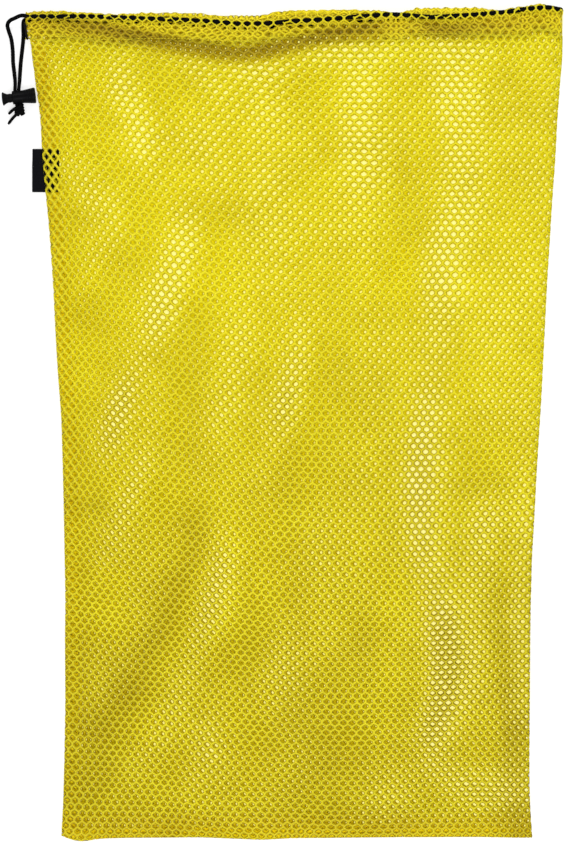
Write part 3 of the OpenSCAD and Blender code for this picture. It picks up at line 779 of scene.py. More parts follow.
def front_holes(gx, gy):
    t = tall(gx, gy)
    k = smooth((paleness(gx, gy) - 0.45) / 0.5)
    return 0.595 + 0.065 * k - 0.13 * t, 0.57 + 0.085 * k + 0.24 * t


def back_holes(gx, gy):
    k = smooth((paleness(gx, gy) - 0.10) / 0.7)
    return 0.47 + 0.15 * k, 0.45 + 0.16 * k


def leaf_thick(gx, gy):
    """Thinner beside the hem, where the net is drawn tight by the stitching."""
    return 0.00036 + (THICK - 0.00036) * smooth((gy - hem_line(gx) - 1) / 16)


front_net = net("net_front", (-3, NC + 3), (J_TOP, J_BOT), place_front, keep_leaf, clamp_leaf, seed=5,
                hole=front_holes, thick=leaf_thick)
front_hem = net("hem_front", (-3, NC + 3), (J_TOP - 6, J_BOT), place_front, keep_hem, clamp_leaf, seed=5,
                hole=hem_holes, thick=0.00036)
# the back leaf: depth and deep set how much painted shade it carries
back_net = net("net_back", (-3, NC + 3), (J_TOP, J_BOT), place_back, keep_leaf, clamp_leaf, offset=back_offset,
               seed=6, depth=0.6, hole=back_holes, deep=0.14)
back_hem = net("hem_back", (-3, NC + 3), (J_TOP - 6, J_BOT), place_back, keep_hem, clamp_leaf, offset=back_offset,
               seed=6, hole=(0.54, 0.52), thick=0.00040, depth=0.55)

# seam allowances: the net turned back inside along the sewn edges
SIDE_W, BOT_W = 14.0, 12.0


def place_at(z_mm, wob=0.15, seed=50):
    nz = Noise2(seed, 24)

    def f(gx, gy):
        z = z_mm + wob * nz(gx, gy)
        return np.stack([GX(gx), GY(gy), z * 1e-3 + 0 * gx], -1)

    return f


def keep_side(gx, gy, I, J):
    return (gx < L_EDGE(gy) + 1.5) & (gx > L_EDGE(gy) - SIDE_W - 2) & (gy > hem_line(gx) + 2) & (gy < B_EDGE(gx) - 1)


def fold_side(G):
    gx, gy = G[:, 0], G[:, 1]
    l = L_EDGE(gy)
    return np.stack([np.maximum(2 * l - gx, l + 0.3), gy], -1)


def clamp_side(G):
    gx, gy = G[:, 0].copy(), G[:, 1].copy()
    l = L_EDGE(gy)
    gx = np.clip(gx, l - SIDE_W, l)
    return np.stack([gx, gy], -1)


def keep_bottom(gx, gy, I, J):
    return (gy > B_EDGE(gx) - 1.5) & (gy < B_EDGE(gx) + BOT_W + 1) & (I >= 0) & (I + 0.5 * (J % 2) <= NC)


def fold_bottom(G):
    gx, gy = G[:, 0], G[:, 1]
    b = B_EDGE(gx)
    return np.stack([gx, np.minimum(2 * b - gy, b - 0.3)], -1)


def clamp_bottom(G):
    gx, gy = G[:, 0].copy(), G[:, 1].copy()
    b = B_EDGE(gx)
    gy = np.clip(gy, b, b + BOT_W)
    gx = np.clip(gx, L_EDGE(gy) + 1.5, R_EDGE(gy) - 1.5)
    return np.stack([gx, gy], -1)


side_a = net("side_allowance_upper", (-6, 4), (J_TOP, J_BOT), place_at(2.05), keep_side, clamp_side,
             fold=fold_side, seed=7, flip=True, thick=0.00034, hole=(0.44, 0.42))
side_b = net("side_allowance_lower", (-6, 4), (J_TOP, J_BOT), place_at(1.35, 0.1), keep_side, clamp_side,
             offset=lambda x, y: (0.31 * 9 + 0 * x, 1.9 + 0 * y), fold=fold_side, seed=8, flip=True, thick=0.00034, hole=(0.44, 0.42))
bot_a = net("bottom_allowance_upper", (-3, NC + 3), (J_BOT - 22, J_BOT + 6), place_at(2.05), keep_bottom,
            clamp_bottom, fold=fold_bottom, seed=9, flip=True, thick=0.00034, hole=(0.44, 0.42))
bot_b = net("bottom_allowance_lower", (-3, NC + 3), (J_BOT - 22, J_BOT + 6), place_at(1.35, 0.1), keep_bottom,
            clamp_bottom, offset=lambda x, y: (2.6 + 0 * x, 1.5 + 0 * y), fold=fold_bottom, seed=10, flip=True,
            thick=0.00034, hole=(0.44, 0.42))
for o in (front_net, front_hem, back_net, back_hem, side_a, side_b, bot_a, bot_b):
    print("NET", o.name, "cells", o["net_cells"], "tris", 2 * len(o.data.polygons))


# ------------------------------------------------------------------ cord routes (metres, from the part's source)
XL, XR = XL_MM, XR_MM


def top_y_mm(x):
    return (424.0 - T_EDGE(294 + x / 0.905)) * 0.905


def cord_y_mm(x):
    gx = 294 + np.asarray(x, float) / 0.905
    return top_y_mm(x) - cord_depth(gx)


def hem_z_mm(x):
    return hem_base(294 + np.asarray(x, float) / 0.905)


def row_frame(p_mm):
    """Part coordinates in mm, before the part's shift, to the row frame in metres."""
    p = np.asarray(p_mm, float) * 1e-3
    return p + np.array([SX, SY, 0.0])


TILT = math.radians(6.5)
HOLE = np.array([-249.9, 295.5, 7.15])
LK_S = np.array([-math.sin(TILT), math.cos(TILT), 0.0])
LK_A = np.array([math.cos(TILT), math.sin(TILT), 0.0])
LK_Z = np.array([0.0, 0.0, 1.0])


def at_lock(a, s, z=0.0):
    return HOLE + a * LK_A + s * LK_S + z * LK_Z


CORD_D = 3.3
EXIT_FRONT = np.array([XL, 369.0, 8.9])
EXIT_BACK = np.array([XL, 366.6, 2.5])
LEFT_ROUTE = [EXIT_FRONT, [-247, 369.2, 8.6], [-252.5, 367, 7.6], [-257, 364.8, 6.6], [-259.3, 361, 5.6],
              [-258, 355, 4.8], [-255.8, 348, 4.4], [-254.6, 338, 4.2], [-254.2, 327, 4.6], [-253, 317, 5.6],
              [-252.2, 309, 6.6], at_lock(-1.7, 7.0)]
RIGHT_ROUTE = [EXIT_BACK, [-243.9, 365.9, 2.4], [-245.1, 363.6, 2.2], [-245.2, 358, 2.0], [-245.1, 350, 2.0],
               [-246, 340, 2.1], [-247.3, 328, 3.0], [-248, 317, 4.6], [-248.4, 309, 6.2], at_lock(1.7, 7.0)]


def catmull(pts, step):
    p = np.asarray(pts, float)
    p = np.vstack([2 * p[0] - p[1], p, 2 * p[-1] - p[-2]])
    out = []
    for i in range(1, len(p) - 2):
        a, b, c, d = p[i - 1], p[i], p[i + 1], p[i + 2]
        n = max(2, int(math.ceil(np.linalg.norm(c - b) / (step * 0.2))))
        t = np.linspace(0, 1, n, endpoint=False)[:, None]
        out.append(0.5 * ((2 * b) + (c - a) * t + (2 * a - 5 * b + 4 * c - d) * t ** 2 + (3 * b - a - 3 * c + d) * t ** 3))
    out.append(p[-2][None])
    q = np.vstack(out)
    s = np.concatenate([[0], np.cumsum(np.linalg.norm(np.diff(q, axis=0), axis=1))])
    n = max(2, int(round(s[-1] / step)) + 1)
    u = np.linspace(0, s[-1], n)
    return np.stack([np.interp(u, s, q[:, k]) for k in range(3)], -1)


def frames(line):
    t = np.gradient(line, axis=0)
    t /= np.linalg.norm(t, axis=1, keepdims=True)
    ref = np.array([0, 0, 1.0]) if abs(t[0, 2]) < 0.8 else np.array([1.0, 0, 0])
    n = np.zeros_like(t)
    v = ref - t[0] * (ref @ t[0])
    n[0] = v / np.linalg.norm(v)
    for i in range(1, len(t)):
        v = n[i - 1] - t[i] * (n[i - 1] @ t[i])
        n[i] = v / np.linalg.norm(v)
    return t, n, np.cross(t, n)


def rope(name, pts_mm, d=CORD_D, step=0.34, sides=28, braid=0.085, carriers=8, lay=5.4, cap=(True, True), s0=0.0,
         squeeze=None, wide=1.0):
    """A braided cord through points in the row frame, in mm: crossing carriers as real relief, with a UV map
    of distance along and around for the fibre detail."""
    line = catmull(pts_mm, step)
    t, n, b = frames(line)
    L = np.concatenate([[0], np.cumsum(np.linalg.norm(np.diff(line, axis=0), axis=1))])
    th = np.arange(sides) * 2 * math.pi / sides
    S, TH = np.meshgrid(L + s0, th, indexing="ij")
    half = carriers / 2
    u = half * TH / math.pi + 2 * S / lay
    w = half * TH / math.pi - 2 * S / lay
    over = np.sign(np.sin(math.pi * (np.floor(u) + np.floor(w)) + math.pi / 2))
    ru = np.abs(np.sin(math.pi * u))
    rw = np.abs(np.sin(math.pi * w))
    relief = np.where(over > 0, ru ** 0.6 * (0.55 + 0.45 * rw), rw ** 0.6 * (0.55 + 0.45 * ru))
    r = d / 2 * (1 - braid + braid * 1.35 * relief)
    if squeeze is not None:
        r = r * squeeze(L / L[-1])[:, None]
    P = line[:, None, :] + r[..., None] * (np.cos(TH)[..., None] * n[:, None, :]
                                           + wide * np.sin(TH)[..., None] * b[:, None, :])
    V = P.reshape(-1, 3) * 1e-3
    k = len(line)
    a0 = np.arange(k - 1)[:, None] * sides + np.arange(sides)[None]
    a1 = np.arange(k - 1)[:, None] * sides + (np.arange(sides)[None] + 1) % sides
    quads = np.stack([a0, a1, a1 + sides, a0 + sides], -1).reshape(-1, 4)
    verts = [tuple(v) for v in V]
    faces = [tuple(q) for q in quads[:, ::-1]]
    for end, do in ((0, cap[0]), (k - 1, cap[1])):
        if not do:
            continue
        tv = -t[0] if end == 0 else t[-1]
        prev = [end * sides + m for m in range(sides)]
        for f, out in ((0.8, 0.18), (0.45, 0.28)):
            base = len(verts)
            for m in range(sides):
                q = line[end] + (P[end, m] - line[end]) * f + tv * out * d / 2
                verts.append(tuple(q * 1e-3))
            ring = [base + m for m in range(sides)]
            for m in range(sides):
                m2 = (m + 1) % sides
                f4 = (prev[m], prev[m2], ring[m2], ring[m])
                faces.append(f4 if end == 0 else f4[::-1])
            prev = ring
        base = len(verts)
        verts.append(tuple((line[end] + tv * 0.30 * d / 2) * 1e-3))
        for m in range(sides):
            f3 = (prev[m], prev[(m + 1) % sides], base)
            faces.append(f3 if end == 0 else f3[::-1])
    ob = add_mesh(name, verts, faces)
    uv = ob.data.uv_layers.new(name="run")
    li = np.zeros(len(ob.data.loops), np.int32)
    ob.data.loops.foreach_get("vertex_index", li)
    inside = li < k * sides
    su = np.where(inside, (L[np.minimum(li // sides, k - 1)] + s0), 0.0)
    sv = np.where(inside, (li % sides) / sides, 0.5)
    # keep the seam's last face from running backwards
    ls = np.zeros(len(ob.data.polygons), np.int32)
    ob.data.polygons.foreach_get("loop_start", ls)
    lt = np.zeros(len(ob.data.polygons), np.int32)
    ob.data.polygons.foreach_get("loop_total", lt)
    for a, c in zip(ls, lt):
        seg = sv[a:a + c]
        if seg.max() - seg.min() > 0.5:
            seg[seg < 0.5] += 1.0
    uv.data.foreach_set("uv", np.stack([su, sv], -1).astype(np.float32).ravel())
    return ob, line * 1e-3


def in_row(points):
    return [row_frame(p) for p in points]


def mm_row(points):
    return [row_frame(p) * 1e3 for p in points]


left_line = mm_row(LEFT_ROUTE)
right_line = mm_row(RIGHT_ROUTE)
nip = lambda u: 1 - 0.10 * smooth((u - 0.80) / 0.17)  # narrower where the lock grips it
strand_l, path_l = rope("strand_left_cord", left_line, d=3.65, cap=(True, False), squeeze=nip)
strand_r, path_r = rope("strand_right_cord", right_line, d=3.65, cap=(True, False), squeeze=nip)
low_l, path_ll = rope("strand_left_lower_cord",
                      mm_row([at_lock(-1.72, 7.7), at_lock(-1.7, 7.0), at_lock(-1.7, 3.4), at_lock(-1.7, 0), at_lock(-1.65, -4),
                              at_lock(-1.5, -7.6, -0.3)]), cap=(True, True),
                      squeeze=lambda u: 0.90 + 0.10 * smooth(u / 0.07))
low_r, path_rl = rope("strand_right_lower_cord",
                      mm_row([at_lock(1.72, 7.7), at_lock(1.7, 7.0), at_lock(1.7, 3.4), at_lock(1.7, 0), at_lock(1.65, -4),
                              at_lock(1.5, -7.6, -0.3)]), cap=(True, True),
                      squeeze=lambda u: 0.90 + 0.10 * smooth(u / 0.07))

# the knot: the doubled cord wound about itself and drawn tight, slanting across the front
def wound(name, turns, ds):
    th = np.linspace(-0.45 * math.pi, turns * 2 * math.pi, 44)
    r = 1.1 + 2.35 * smooth((th - th[0]) / 0.9) * smooth((th[-1] - th) / 0.8)
    s = -7.9 - ds - 5.1 * th / (2 * math.pi) + 0.22 * r * np.cos(th)
    a = -0.1 + r * np.cos(th) + 0.04 * (-7.9 - s)
    z = -1.7 + 0.95 * r * np.sin(th)
    return rope(name, mm_row([at_lock(*q) for q in zip(a, s, z)]), d=2.85, cap=(True, True), step=0.36, sides=24)


knot_pair = [wound("knot_cord_a", 1.5, 0.0), wound("knot_cord_b", 1.12, 2.55)]
tail_u, _ = rope("tail_upper_cord", mm_row([at_lock(-1.6, -8.8, -3.4), at_lock(-3.8, -9.4, -3.7),
                                            at_lock(-6.6, -11.0, -4.2), at_lock(-10.0, -13.6, -4.9)]), d=2.8,
                 squeeze=lambda u: 1 - 0.25 * smooth((u - 0.8) / 0.2))
tail_d, _ = rope("tail_lower_cord", mm_row([at_lock(-1.2, -13.6, -3.6), at_lock(-4.0, -15.6, -3.9),
                                            at_lock(-7.4, -18.4, -4.6), at_lock(-11.4, -22.6, -5.2)]), d=2.8,
                 squeeze=lambda u: 1 - 0.25 * smooth((u - 0.85) / 0.15))

# the drawcord inside the two hems
cxs = np.linspace(XL + 1.0, XR, 60)
run = [[x, cord_y_mm(x) + 0.3, hem_z_mm(x) + 2.5] for x in cxs]
run += [[XR + 3.2 * math.sin(f), cord_y_mm(XR), 5.7 + 3.2 * math.cos(f)] for f in np.radians([30, 60, 90, 120, 150])]
back_y = lambda x: cord_y_mm(x) - 2.4 * (1 - smooth((x - XL) / 40)) - 1.9 * smooth((x - XL) / 60) * (1 - smooth((x - 60) / 90))
run += [[x, back_y(x), 2.5] for x in cxs[::-1]]
drawcord, _ = rope("drawcord_in_hems", mm_row(run), step=0.75, sides=16, d=3.4, cap=(True, True), wide=1.24)


# ------------------------------------------------------------------ stitches
def stitches(name, pts, ups, length, r=0.24, arch=0.32, gap=0.28, lean=0.0):
    """Sewn stitches along points in the row frame (m): each thread arches up out of the cloth and dives in again."""
    verts, faces = [], []
    sides, rings = 6, 9
    for p, q, up in zip(pts[:-1], pts[1:], ups):
        p, q = np.array(p), np.array(q)
        d = q - p
        L = np.linalg.norm(d)
        d = d / L
        s = np.cross(d, up)
        a, b = p + d * L * gap / 2 + s * lean, q - d * L * gap / 2 - s * lean
        d2 = (b - a) / np.linalg.norm(b - a)
        s2 = np.cross(d2, up)
        s2 /= np.linalg.norm(s2)
        base = len(verts)
        for k in range(rings):
            u = k / (rings - 1)
            c = a + (b - a) * u + up * (arch * 1e-3 * (math.sin(math.pi * u) ** 0.6) - 0.25e-3 * (1 - math.sin(math.pi * u)))
            rr = r * 1e-3 * (0.72 + 0.28 * math.sin(math.pi * u))
            for m in range(sides):
                th = 2 * math.pi * m / sides
                verts.append(tuple(c + rr * (math.cos(th) * s2 + math.sin(th) * up)))
        for k in range(rings - 1):
            for m in range(sides):
                m2 = (m + 1) % sides
                faces.append((base + k * sides + m, base + (k + 1) * sides + m, base + (k + 1) * sides + m2,
                              base + k * sides + m2))
        faces.append(tuple(base + m for m in range(sides)))
        faces.append(tuple(base + (rings - 1) * sides + m for m in reversed(range(sides))))
    return add_mesh(name, verts, faces)


def along(fn, a, b, pitch):
    """Points pitch apart (m) along a path fn(t), t from a to b."""
    t = np.linspace(a, b, 4000)
    p = np.array([fn(x) for x in t])
    s = np.concatenate([[0], np.cumsum(np.linalg.norm(np.diff(p, axis=0), axis=1))])
    n = int(s[-1] / pitch)
    u = np.linspace(0, s[-1], n + 1)
    return np.stack([np.interp(u, s, p[:, k]) for k in range(3)], -1)


UP = np.array([0, 0, 1.0])


def side_run(t, inset, z):
    gy = t
    return np.array([float(GX(L_EDGE(gy))) + inset * 1e-3, float(GY(gy)), z * 1e-3])


pts = along(lambda t: side_run(t, 2.6, 2.42), 44, 828, 3.0e-3)
side_thread = stitches("side_seam_stitches", pts, [UP] * len(pts), 3)
pts = along(lambda t: np.array([float(GX(t)), float(GY(B_EDGE(t))) + 2.6e-3, 2.42e-3]), 72, 524, 3.0e-3)
bottom_thread = stitches("bottom_seam_stitches", pts, [UP] * len(pts), 3)


def hem_run(gx, back=False):
    s = -23.6
    gyp = T_EDGE(gx) + mm(23.9)
    if not back:
        P = place_front(np.array([gx]), np.array([float(gyp)]))[0]
        return P + np.array([0, 0, 0.55e-3])
    P = place_back(np.array([gx]), np.array([float(T_EDGE(gx) - mm(22.6))]))[0]
    return P + np.array([0, 0, 0.55e-3])


pts = along(lambda t: hem_run(t), 31, GXR - 1.5, 3.0e-3)
front_stitch = stitches("front_hem_stitches", pts, [UP] * len(pts), 3)
pts = along(lambda t: hem_run(t, True), 31, GXR - 1.5, 3.0e-3)
back_stitch = stitches("back_hem_stitches", pts, [UP] * len(pts), 3)


# ------------------------------------------------------------------ label and tape
def woven_strip(name, path_uv, width_dir, width, thick, res_w=26, wave=0.0, seed=3, frame_z=None):
    """A strip of woven tape: path_uv is its centre line (m), width_dir a unit vector; closed, with rounded edges."""
    line = np.asarray(path_uv)
    n = len(line)
    t = np.gradient(line, axis=0)
    t /= np.linalg.norm(t, axis=1, keepdims=True)
    wd = np.asarray(width_dir, float)
    nrm = np.cross(t, wd)
    nrm /= np.linalg.norm(nrm, axis=1, keepdims=True)
    nz = Noise2(seed, 5.0)
    a = np.linspace(-1, 1, res_w)
    a = np.sin(a * math.pi / 2 * 0.96) / math.sin(math.pi / 2 * 0.96)
    up, dn = [], []
    for i in range(n):
        s = np.linspace(0, 1, n)[i]
        off = wave * 1e-3 * nz(np.full(res_w, i * 0.6), a * 9)
        edge = np.sqrt(np.clip(1 - np.abs(a) ** 12, 0, 1)) * 0.9 + 0.1
        c = line[i] + np.outer(a * width / 2, wd) + np.outer(off, nrm[i])
        up.append(c + np.outer(edge * thick / 2, nrm[i]))
        dn.append(c - np.outer(edge * thick / 2, nrm[i]))
    V = np.concatenate([np.array(up).reshape(-1, 3), np.array(dn).reshape(-1, 3)])
    m = n * res_w
    i, j = np.meshgrid(np.arange(n - 1), np.arange(res_w - 1), indexing="ij")
    q = (i * res_w + j).ravel()
    top = np.stack([q, q + 1, q + 1 + res_w, q + res_w], -1)
    bot = top[:, ::-1] + m
    e1 = np.stack([np.arange(n - 1) * res_w, (np.arange(n - 1) + 1) * res_w, (np.arange(n - 1) + 1) * res_w + m,
                   np.arange(n - 1) * res_w + m], -1)
    e2 = np.stack([np.arange(n - 1) * res_w + res_w - 1, np.arange(n - 1) * res_w + res_w - 1 + m,
                   (np.arange(n - 1) + 1) * res_w + res_w - 1 + m, (np.arange(n - 1) + 1) * res_w + res_w - 1], -1)
    c1 = np.stack([np.arange(res_w - 1), np.arange(res_w - 1) + m, np.arange(res_w - 1) + 1 + m,
                   np.arange(res_w - 1) + 1], -1)
    z = (n - 1) * res_w
    c2 = np.stack([z + np.arange(res_w - 1), z + np.arange(res_w - 1) + 1, z + np.arange(res_w - 1) + 1 + m,
                   z + np.arange(res_w - 1) + m], -1)
    ob = add_quads(name, V, np.concatenate([top, bot, e1, e2, c1, c2])[:, ::-1])
    return ob


# the label: a strip folded double, its fold outside the bag and its two ends caught in the seam
LAB_Y = 229.5
x_edge = float(L_EDGE(gy_of(LAB_Y * 1e-3 + SY)))
lx0 = (x_edge - 294) * 0.905
lab_line = []
for u in np.linspace(0, 1, 40):
    x = mix(lx0 + 14.2, lx0 - 9.6, u)
    lab_line.append([x, 1.95 + 0.25 * math.sin(u * 3.0) + 0.8 * smooth((u - 0.45) / 0.55)])
x_f, z_f = lab_line[-1]
fold = []
for f in np.linspace(0, math.pi, 9)[1:-1]:
    fold.append([x_f - 0.42 * math.sin(f), z_f - 0.42 + 0.42 * math.cos(f)])
under = [[p[0], p[1] - 0.84 + 0.18 * smooth((lx0 + 14.2 - p[0]) / -24 + 1)] for p in lab_line[::-1]]
sec = np.array(lab_line + fold + under)
lab_path = np.stack([sec[:, 0] * 1e-3 + SX, np.full(len(sec), LAB_Y * 1e-3 + SY), sec[:, 1] * 1e-3], -1)
label_ob = woven_strip("label_strip", lab_path, (0, 1, 0), 39.2e-3, 0.42e-3, res_w=30, wave=0.35, seed=5)

# the black tape sewn over the raw end of the hems
tx = XL + 0.14 * 9.5 - 2.0
ty = 363.0 - 7.2
tape_mid = np.array([tx, ty])
tz = np.linspace(0.7, 10.9, 26)
tape_path = np.stack([np.full(26, tx) - 0.25 * np.sin(np.linspace(0, math.pi, 26)), np.full(26, ty), tz], -1)
tape_path = tape_path * 1e-3 + np.array([SX, SY, 0])
ang = math.atan(0.14)
tape_ob = woven_strip("casing_end_tape_strip", tape_path, (math.sin(ang), -math.cos(ang), 0), 15.6e-3, 2.0e-3,
                      res_w=22, wave=0.12, seed=9)


# ------------------------------------------------------------------ cord lock
def lathe(name, prof, sides=96, a_dir=LK_A, origin=HOLE):
    """prof: (a, r) in mm from the axis start to its end, turned about the lock's axis."""
    verts, faces = [], []
    rings = []
    for a, r in prof:
        if r < 1e-6:
            rings.append([len(verts)])
            verts.append(row_frame(origin + a * a_dir))
            continue
        ring = []
        for m in range(sides):
            th = 2 * math.pi * m / sides
            ring.append(len(verts))
            verts.append(row_frame(origin + a * a_dir + r * (math.cos(th) * LK_S + math.sin(th) * LK_Z)))
        rings.append(ring)
    for r0, r1 in zip(rings[:-1], rings[1:]):
        for m in range(sides):
            m2 = (m + 1) % sides
            if len(r0) == 1:
                faces.append((r0[0], r1[m2], r1[m]))
            elif len(r1) == 1:
                faces.append((r0[m], r0[m2], r1[0]))
            else:
                faces.append((r0[m], r0[m2], r1[m2], r1[m]))
    return add_mesh(name, [tuple(v) for v in verts], faces)


def lock_slot(name, a0, a1, h, depth=24):
    """Cutter with round ends, along s."""
    verts, faces = [], []
    n = 20
    prof = []
    for k in range(n + 1):
        th = math.pi / 2 + math.pi * k / n
        prof.append((a0 + h / 2 + h / 2 * math.cos(th), h / 2 * math.sin(th)))
    for k in range(n + 1):
        th = -math.pi / 2 + math.pi * k / n
        prof.append((a1 - h / 2 + h / 2 * math.cos(th), h / 2 * math.sin(th)))
    m = len(prof)
    for s in (-depth / 2, depth / 2):
        for a, z in prof:
            verts.append(tuple(row_frame(at_lock(a, s, z))))
    for k in range(m):
        k2 = (k + 1) % m
        faces.append((k, k2, k2 + m, k + m))
    faces.append(tuple(range(m))[::-1])
    faces.append(tuple(range(m, 2 * m)))
    return add_mesh(name, verts, faces, smooth_shade=False)


def fix_normals(ob):
    import bmesh
    bm = bmesh.new()
    bm.from_mesh(ob.data)
    bmesh.ops.recalc_face_normals(bm, faces=bm.faces)
    bm.to_mesh(ob.data)
    bm.free()


def cut(ob, *tools):
    fix_normals(ob)
    for tool in tools:
        fix_normals(tool)
        md = ob.modifiers.new("cut", "BOOLEAN")
        md.operation = "DIFFERENCE"
        md.solver = "EXACT"
        md.object = tool
    dg = bpy.context.evaluated_depsgraph_get()
    me = bpy.data.meshes.new_from_object(ob.evaluated_get(dg))
    ob.modifiers.clear()
    old = ob.data
    ob.data = me
    bpy.data.meshes.remove(old)
    for tool in tools:
        bpy.data.objects.remove(tool)
    return ob


def soften(ob, width, angle=35, segments=3):
    """Rounded edges, applied, with faces shaded smooth."""
    md = ob.modifiers.new("round", "BEVEL")
    md.width = width
    md.segments = segments
    md.limit_method = "ANGLE"
    md.angle_limit = math.radians(angle)
    md.use_clamp_overlap = True
    md.miter_outer = "MITER_ARC"
    dg = bpy.context.evaluated_depsgraph_get()
    me = bpy.data.meshes.new_from_object(ob.evaluated_get(dg))
    ob.modifiers.clear()
    old = ob.data
    ob.data = me
    bpy.data.meshes.remove(old)
    me.polygons.foreach_set("use_smooth", [True] * len(me.polygons))
    md = ob.modifiers.new("shade", "WEIGHTED_NORMAL")
    md.keep_sharp = True
    return ob


_ga = np.arange(8.7, 14.3, 0.1)
_gr = np.interp(_ga, [8.5, 9.5, 11, 12.6, 14.2, 15.2], [6.3, 6.5, 6.72, 6.92, 7.05, 7.1])
for _c in (9.45, 11.05, 12.65):
    _gr = _gr - 0.17 * np.exp(-((_ga - _c) / 0.30) ** 2)
GRIP = list(zip(_ga.tolist(), _gr.tolist()))
body_prof = [(-4.8, 0), (-4.8, 4.5), (-4.8, 5.45), (-4.7, 5.8), (-4.42, 6.08), (-4.1, 6.15), (-3.4, 6.12), (-3.15, 5.95),
             (-2.9, 5.95), (-2.6, 6.02), (-1.4, 5.9), (0.8, 5.8), (3.0, 5.8), (5.0, 5.86), (6.8, 6.05), (8.5, 6.3),
             *GRIP, (15.2, 7.1),
             (15.75, 6.98), (16.05, 6.7), (16.2, 6.3), (16.2, 4.4), (16.05, 3.9), (16.05, 0)]
housing = lathe("lock_housing_shell", body_prof)
bore = lathe("bore_cutter", [(-6, 0), (-6, 4.3), (-4.4, 4.3), (13.2, 4.3), (13.2, 0)], sides=96)
cut(housing, bore, lock_slot("slot_cutter", -3.6, 3.6, 4.0))
soften(housing, 0.22e-3, 50)

but_prof = [(-14.35, 0), (-14.3, 2.6), (-14.1, 4.4), (-13.95, 5.3), (-13.7, 5.85), (-13.4, 6.06), (-13.2, 6.12), (-12.95, 6.06),
            (-12.5, 5.74), (-12.0, 5.3), (-11.2, 4.85), (-10.2, 4.4), (-9.3, 4.08), (-8.4, 3.92), (-8.1, 3.94), (-7.95, 3.99), (-7.82, 4.07),
            (-7.7, 4.15), (-7.55, 4.2), (-7.4, 4.22), (-4.0, 4.22), (2.0, 4.22), (9.0, 4.22), (9.0, 0)]
button = lathe("lock_button", but_prof)
pocket = lathe("pocket_cutter", [(4.9, 0), (4.9, 3.3), (7, 3.3), (12, 3.3), (12, 0)], sides=64)
cut(button, pocket, lock_slot("slot_cutter_b", -7.4, 3.5, 3.8))
soften(button, 0.18e-3, 50)

spring_pts = [at_lock(4.9 + 0.3 + (13.2 - 4.9 - 0.64) * i / 150.0, 2.6 * math.cos(i * 2 * math.pi * 5 / 150),
                      2.6 * math.sin(i * 2 * math.pi * 5 / 150)) for i in range(151)]
spring, _ = rope("spring_coil", mm_row(spring_pts), d=0.6, step=0.42, sides=10, braid=0.0)


# ------------------------------------------------------------------ materials
def new_mat(name):
    m = bpy.data.materials.new(name)
    m.use_nodes = True
    nt = m.node_tree
    nt.nodes.clear()
    out = nt.nodes.new("ShaderNodeOutputMaterial")
    return m, nt, out


def node(nt, kind, **inputs):
    n = nt.nodes.new(kind)
    for k, v in inputs.items():
        if k in n.inputs:
            n.inputs[k].default_value = v
    return n


def math_node(nt, op, a=None, b=None, clamp=False):
    n = nt.nodes.new("ShaderNodeMath")
    n.operation = op
    n.use_clamp = clamp
    for k, v in enumerate((a, b)):
        if v is None:
            continue
        if hasattr(v, "default_value") or hasattr(v, "links"):
            nt.links.new(v, n.inputs[k])
        else:
            n.inputs[k].default_value = v
    return n.outputs[0]


def ramp(nt, fac, stops):
    n = nt.nodes.new("ShaderNodeValToRGB")
    cr = n.color_ramp
    while len(cr.elements) > 1:
        cr.elements.remove(cr.elements[-1])
    cr.elements[0].position, cr.elements[0].color = stops[0][0], (*stops[0][1], 1)
    for p, c in stops[1:]:
        e = cr.elements.new(p)
        e.color = (*c, 1)
    nt.links.new(fac, n.inputs["Fac"])
    return n.outputs["Color"]


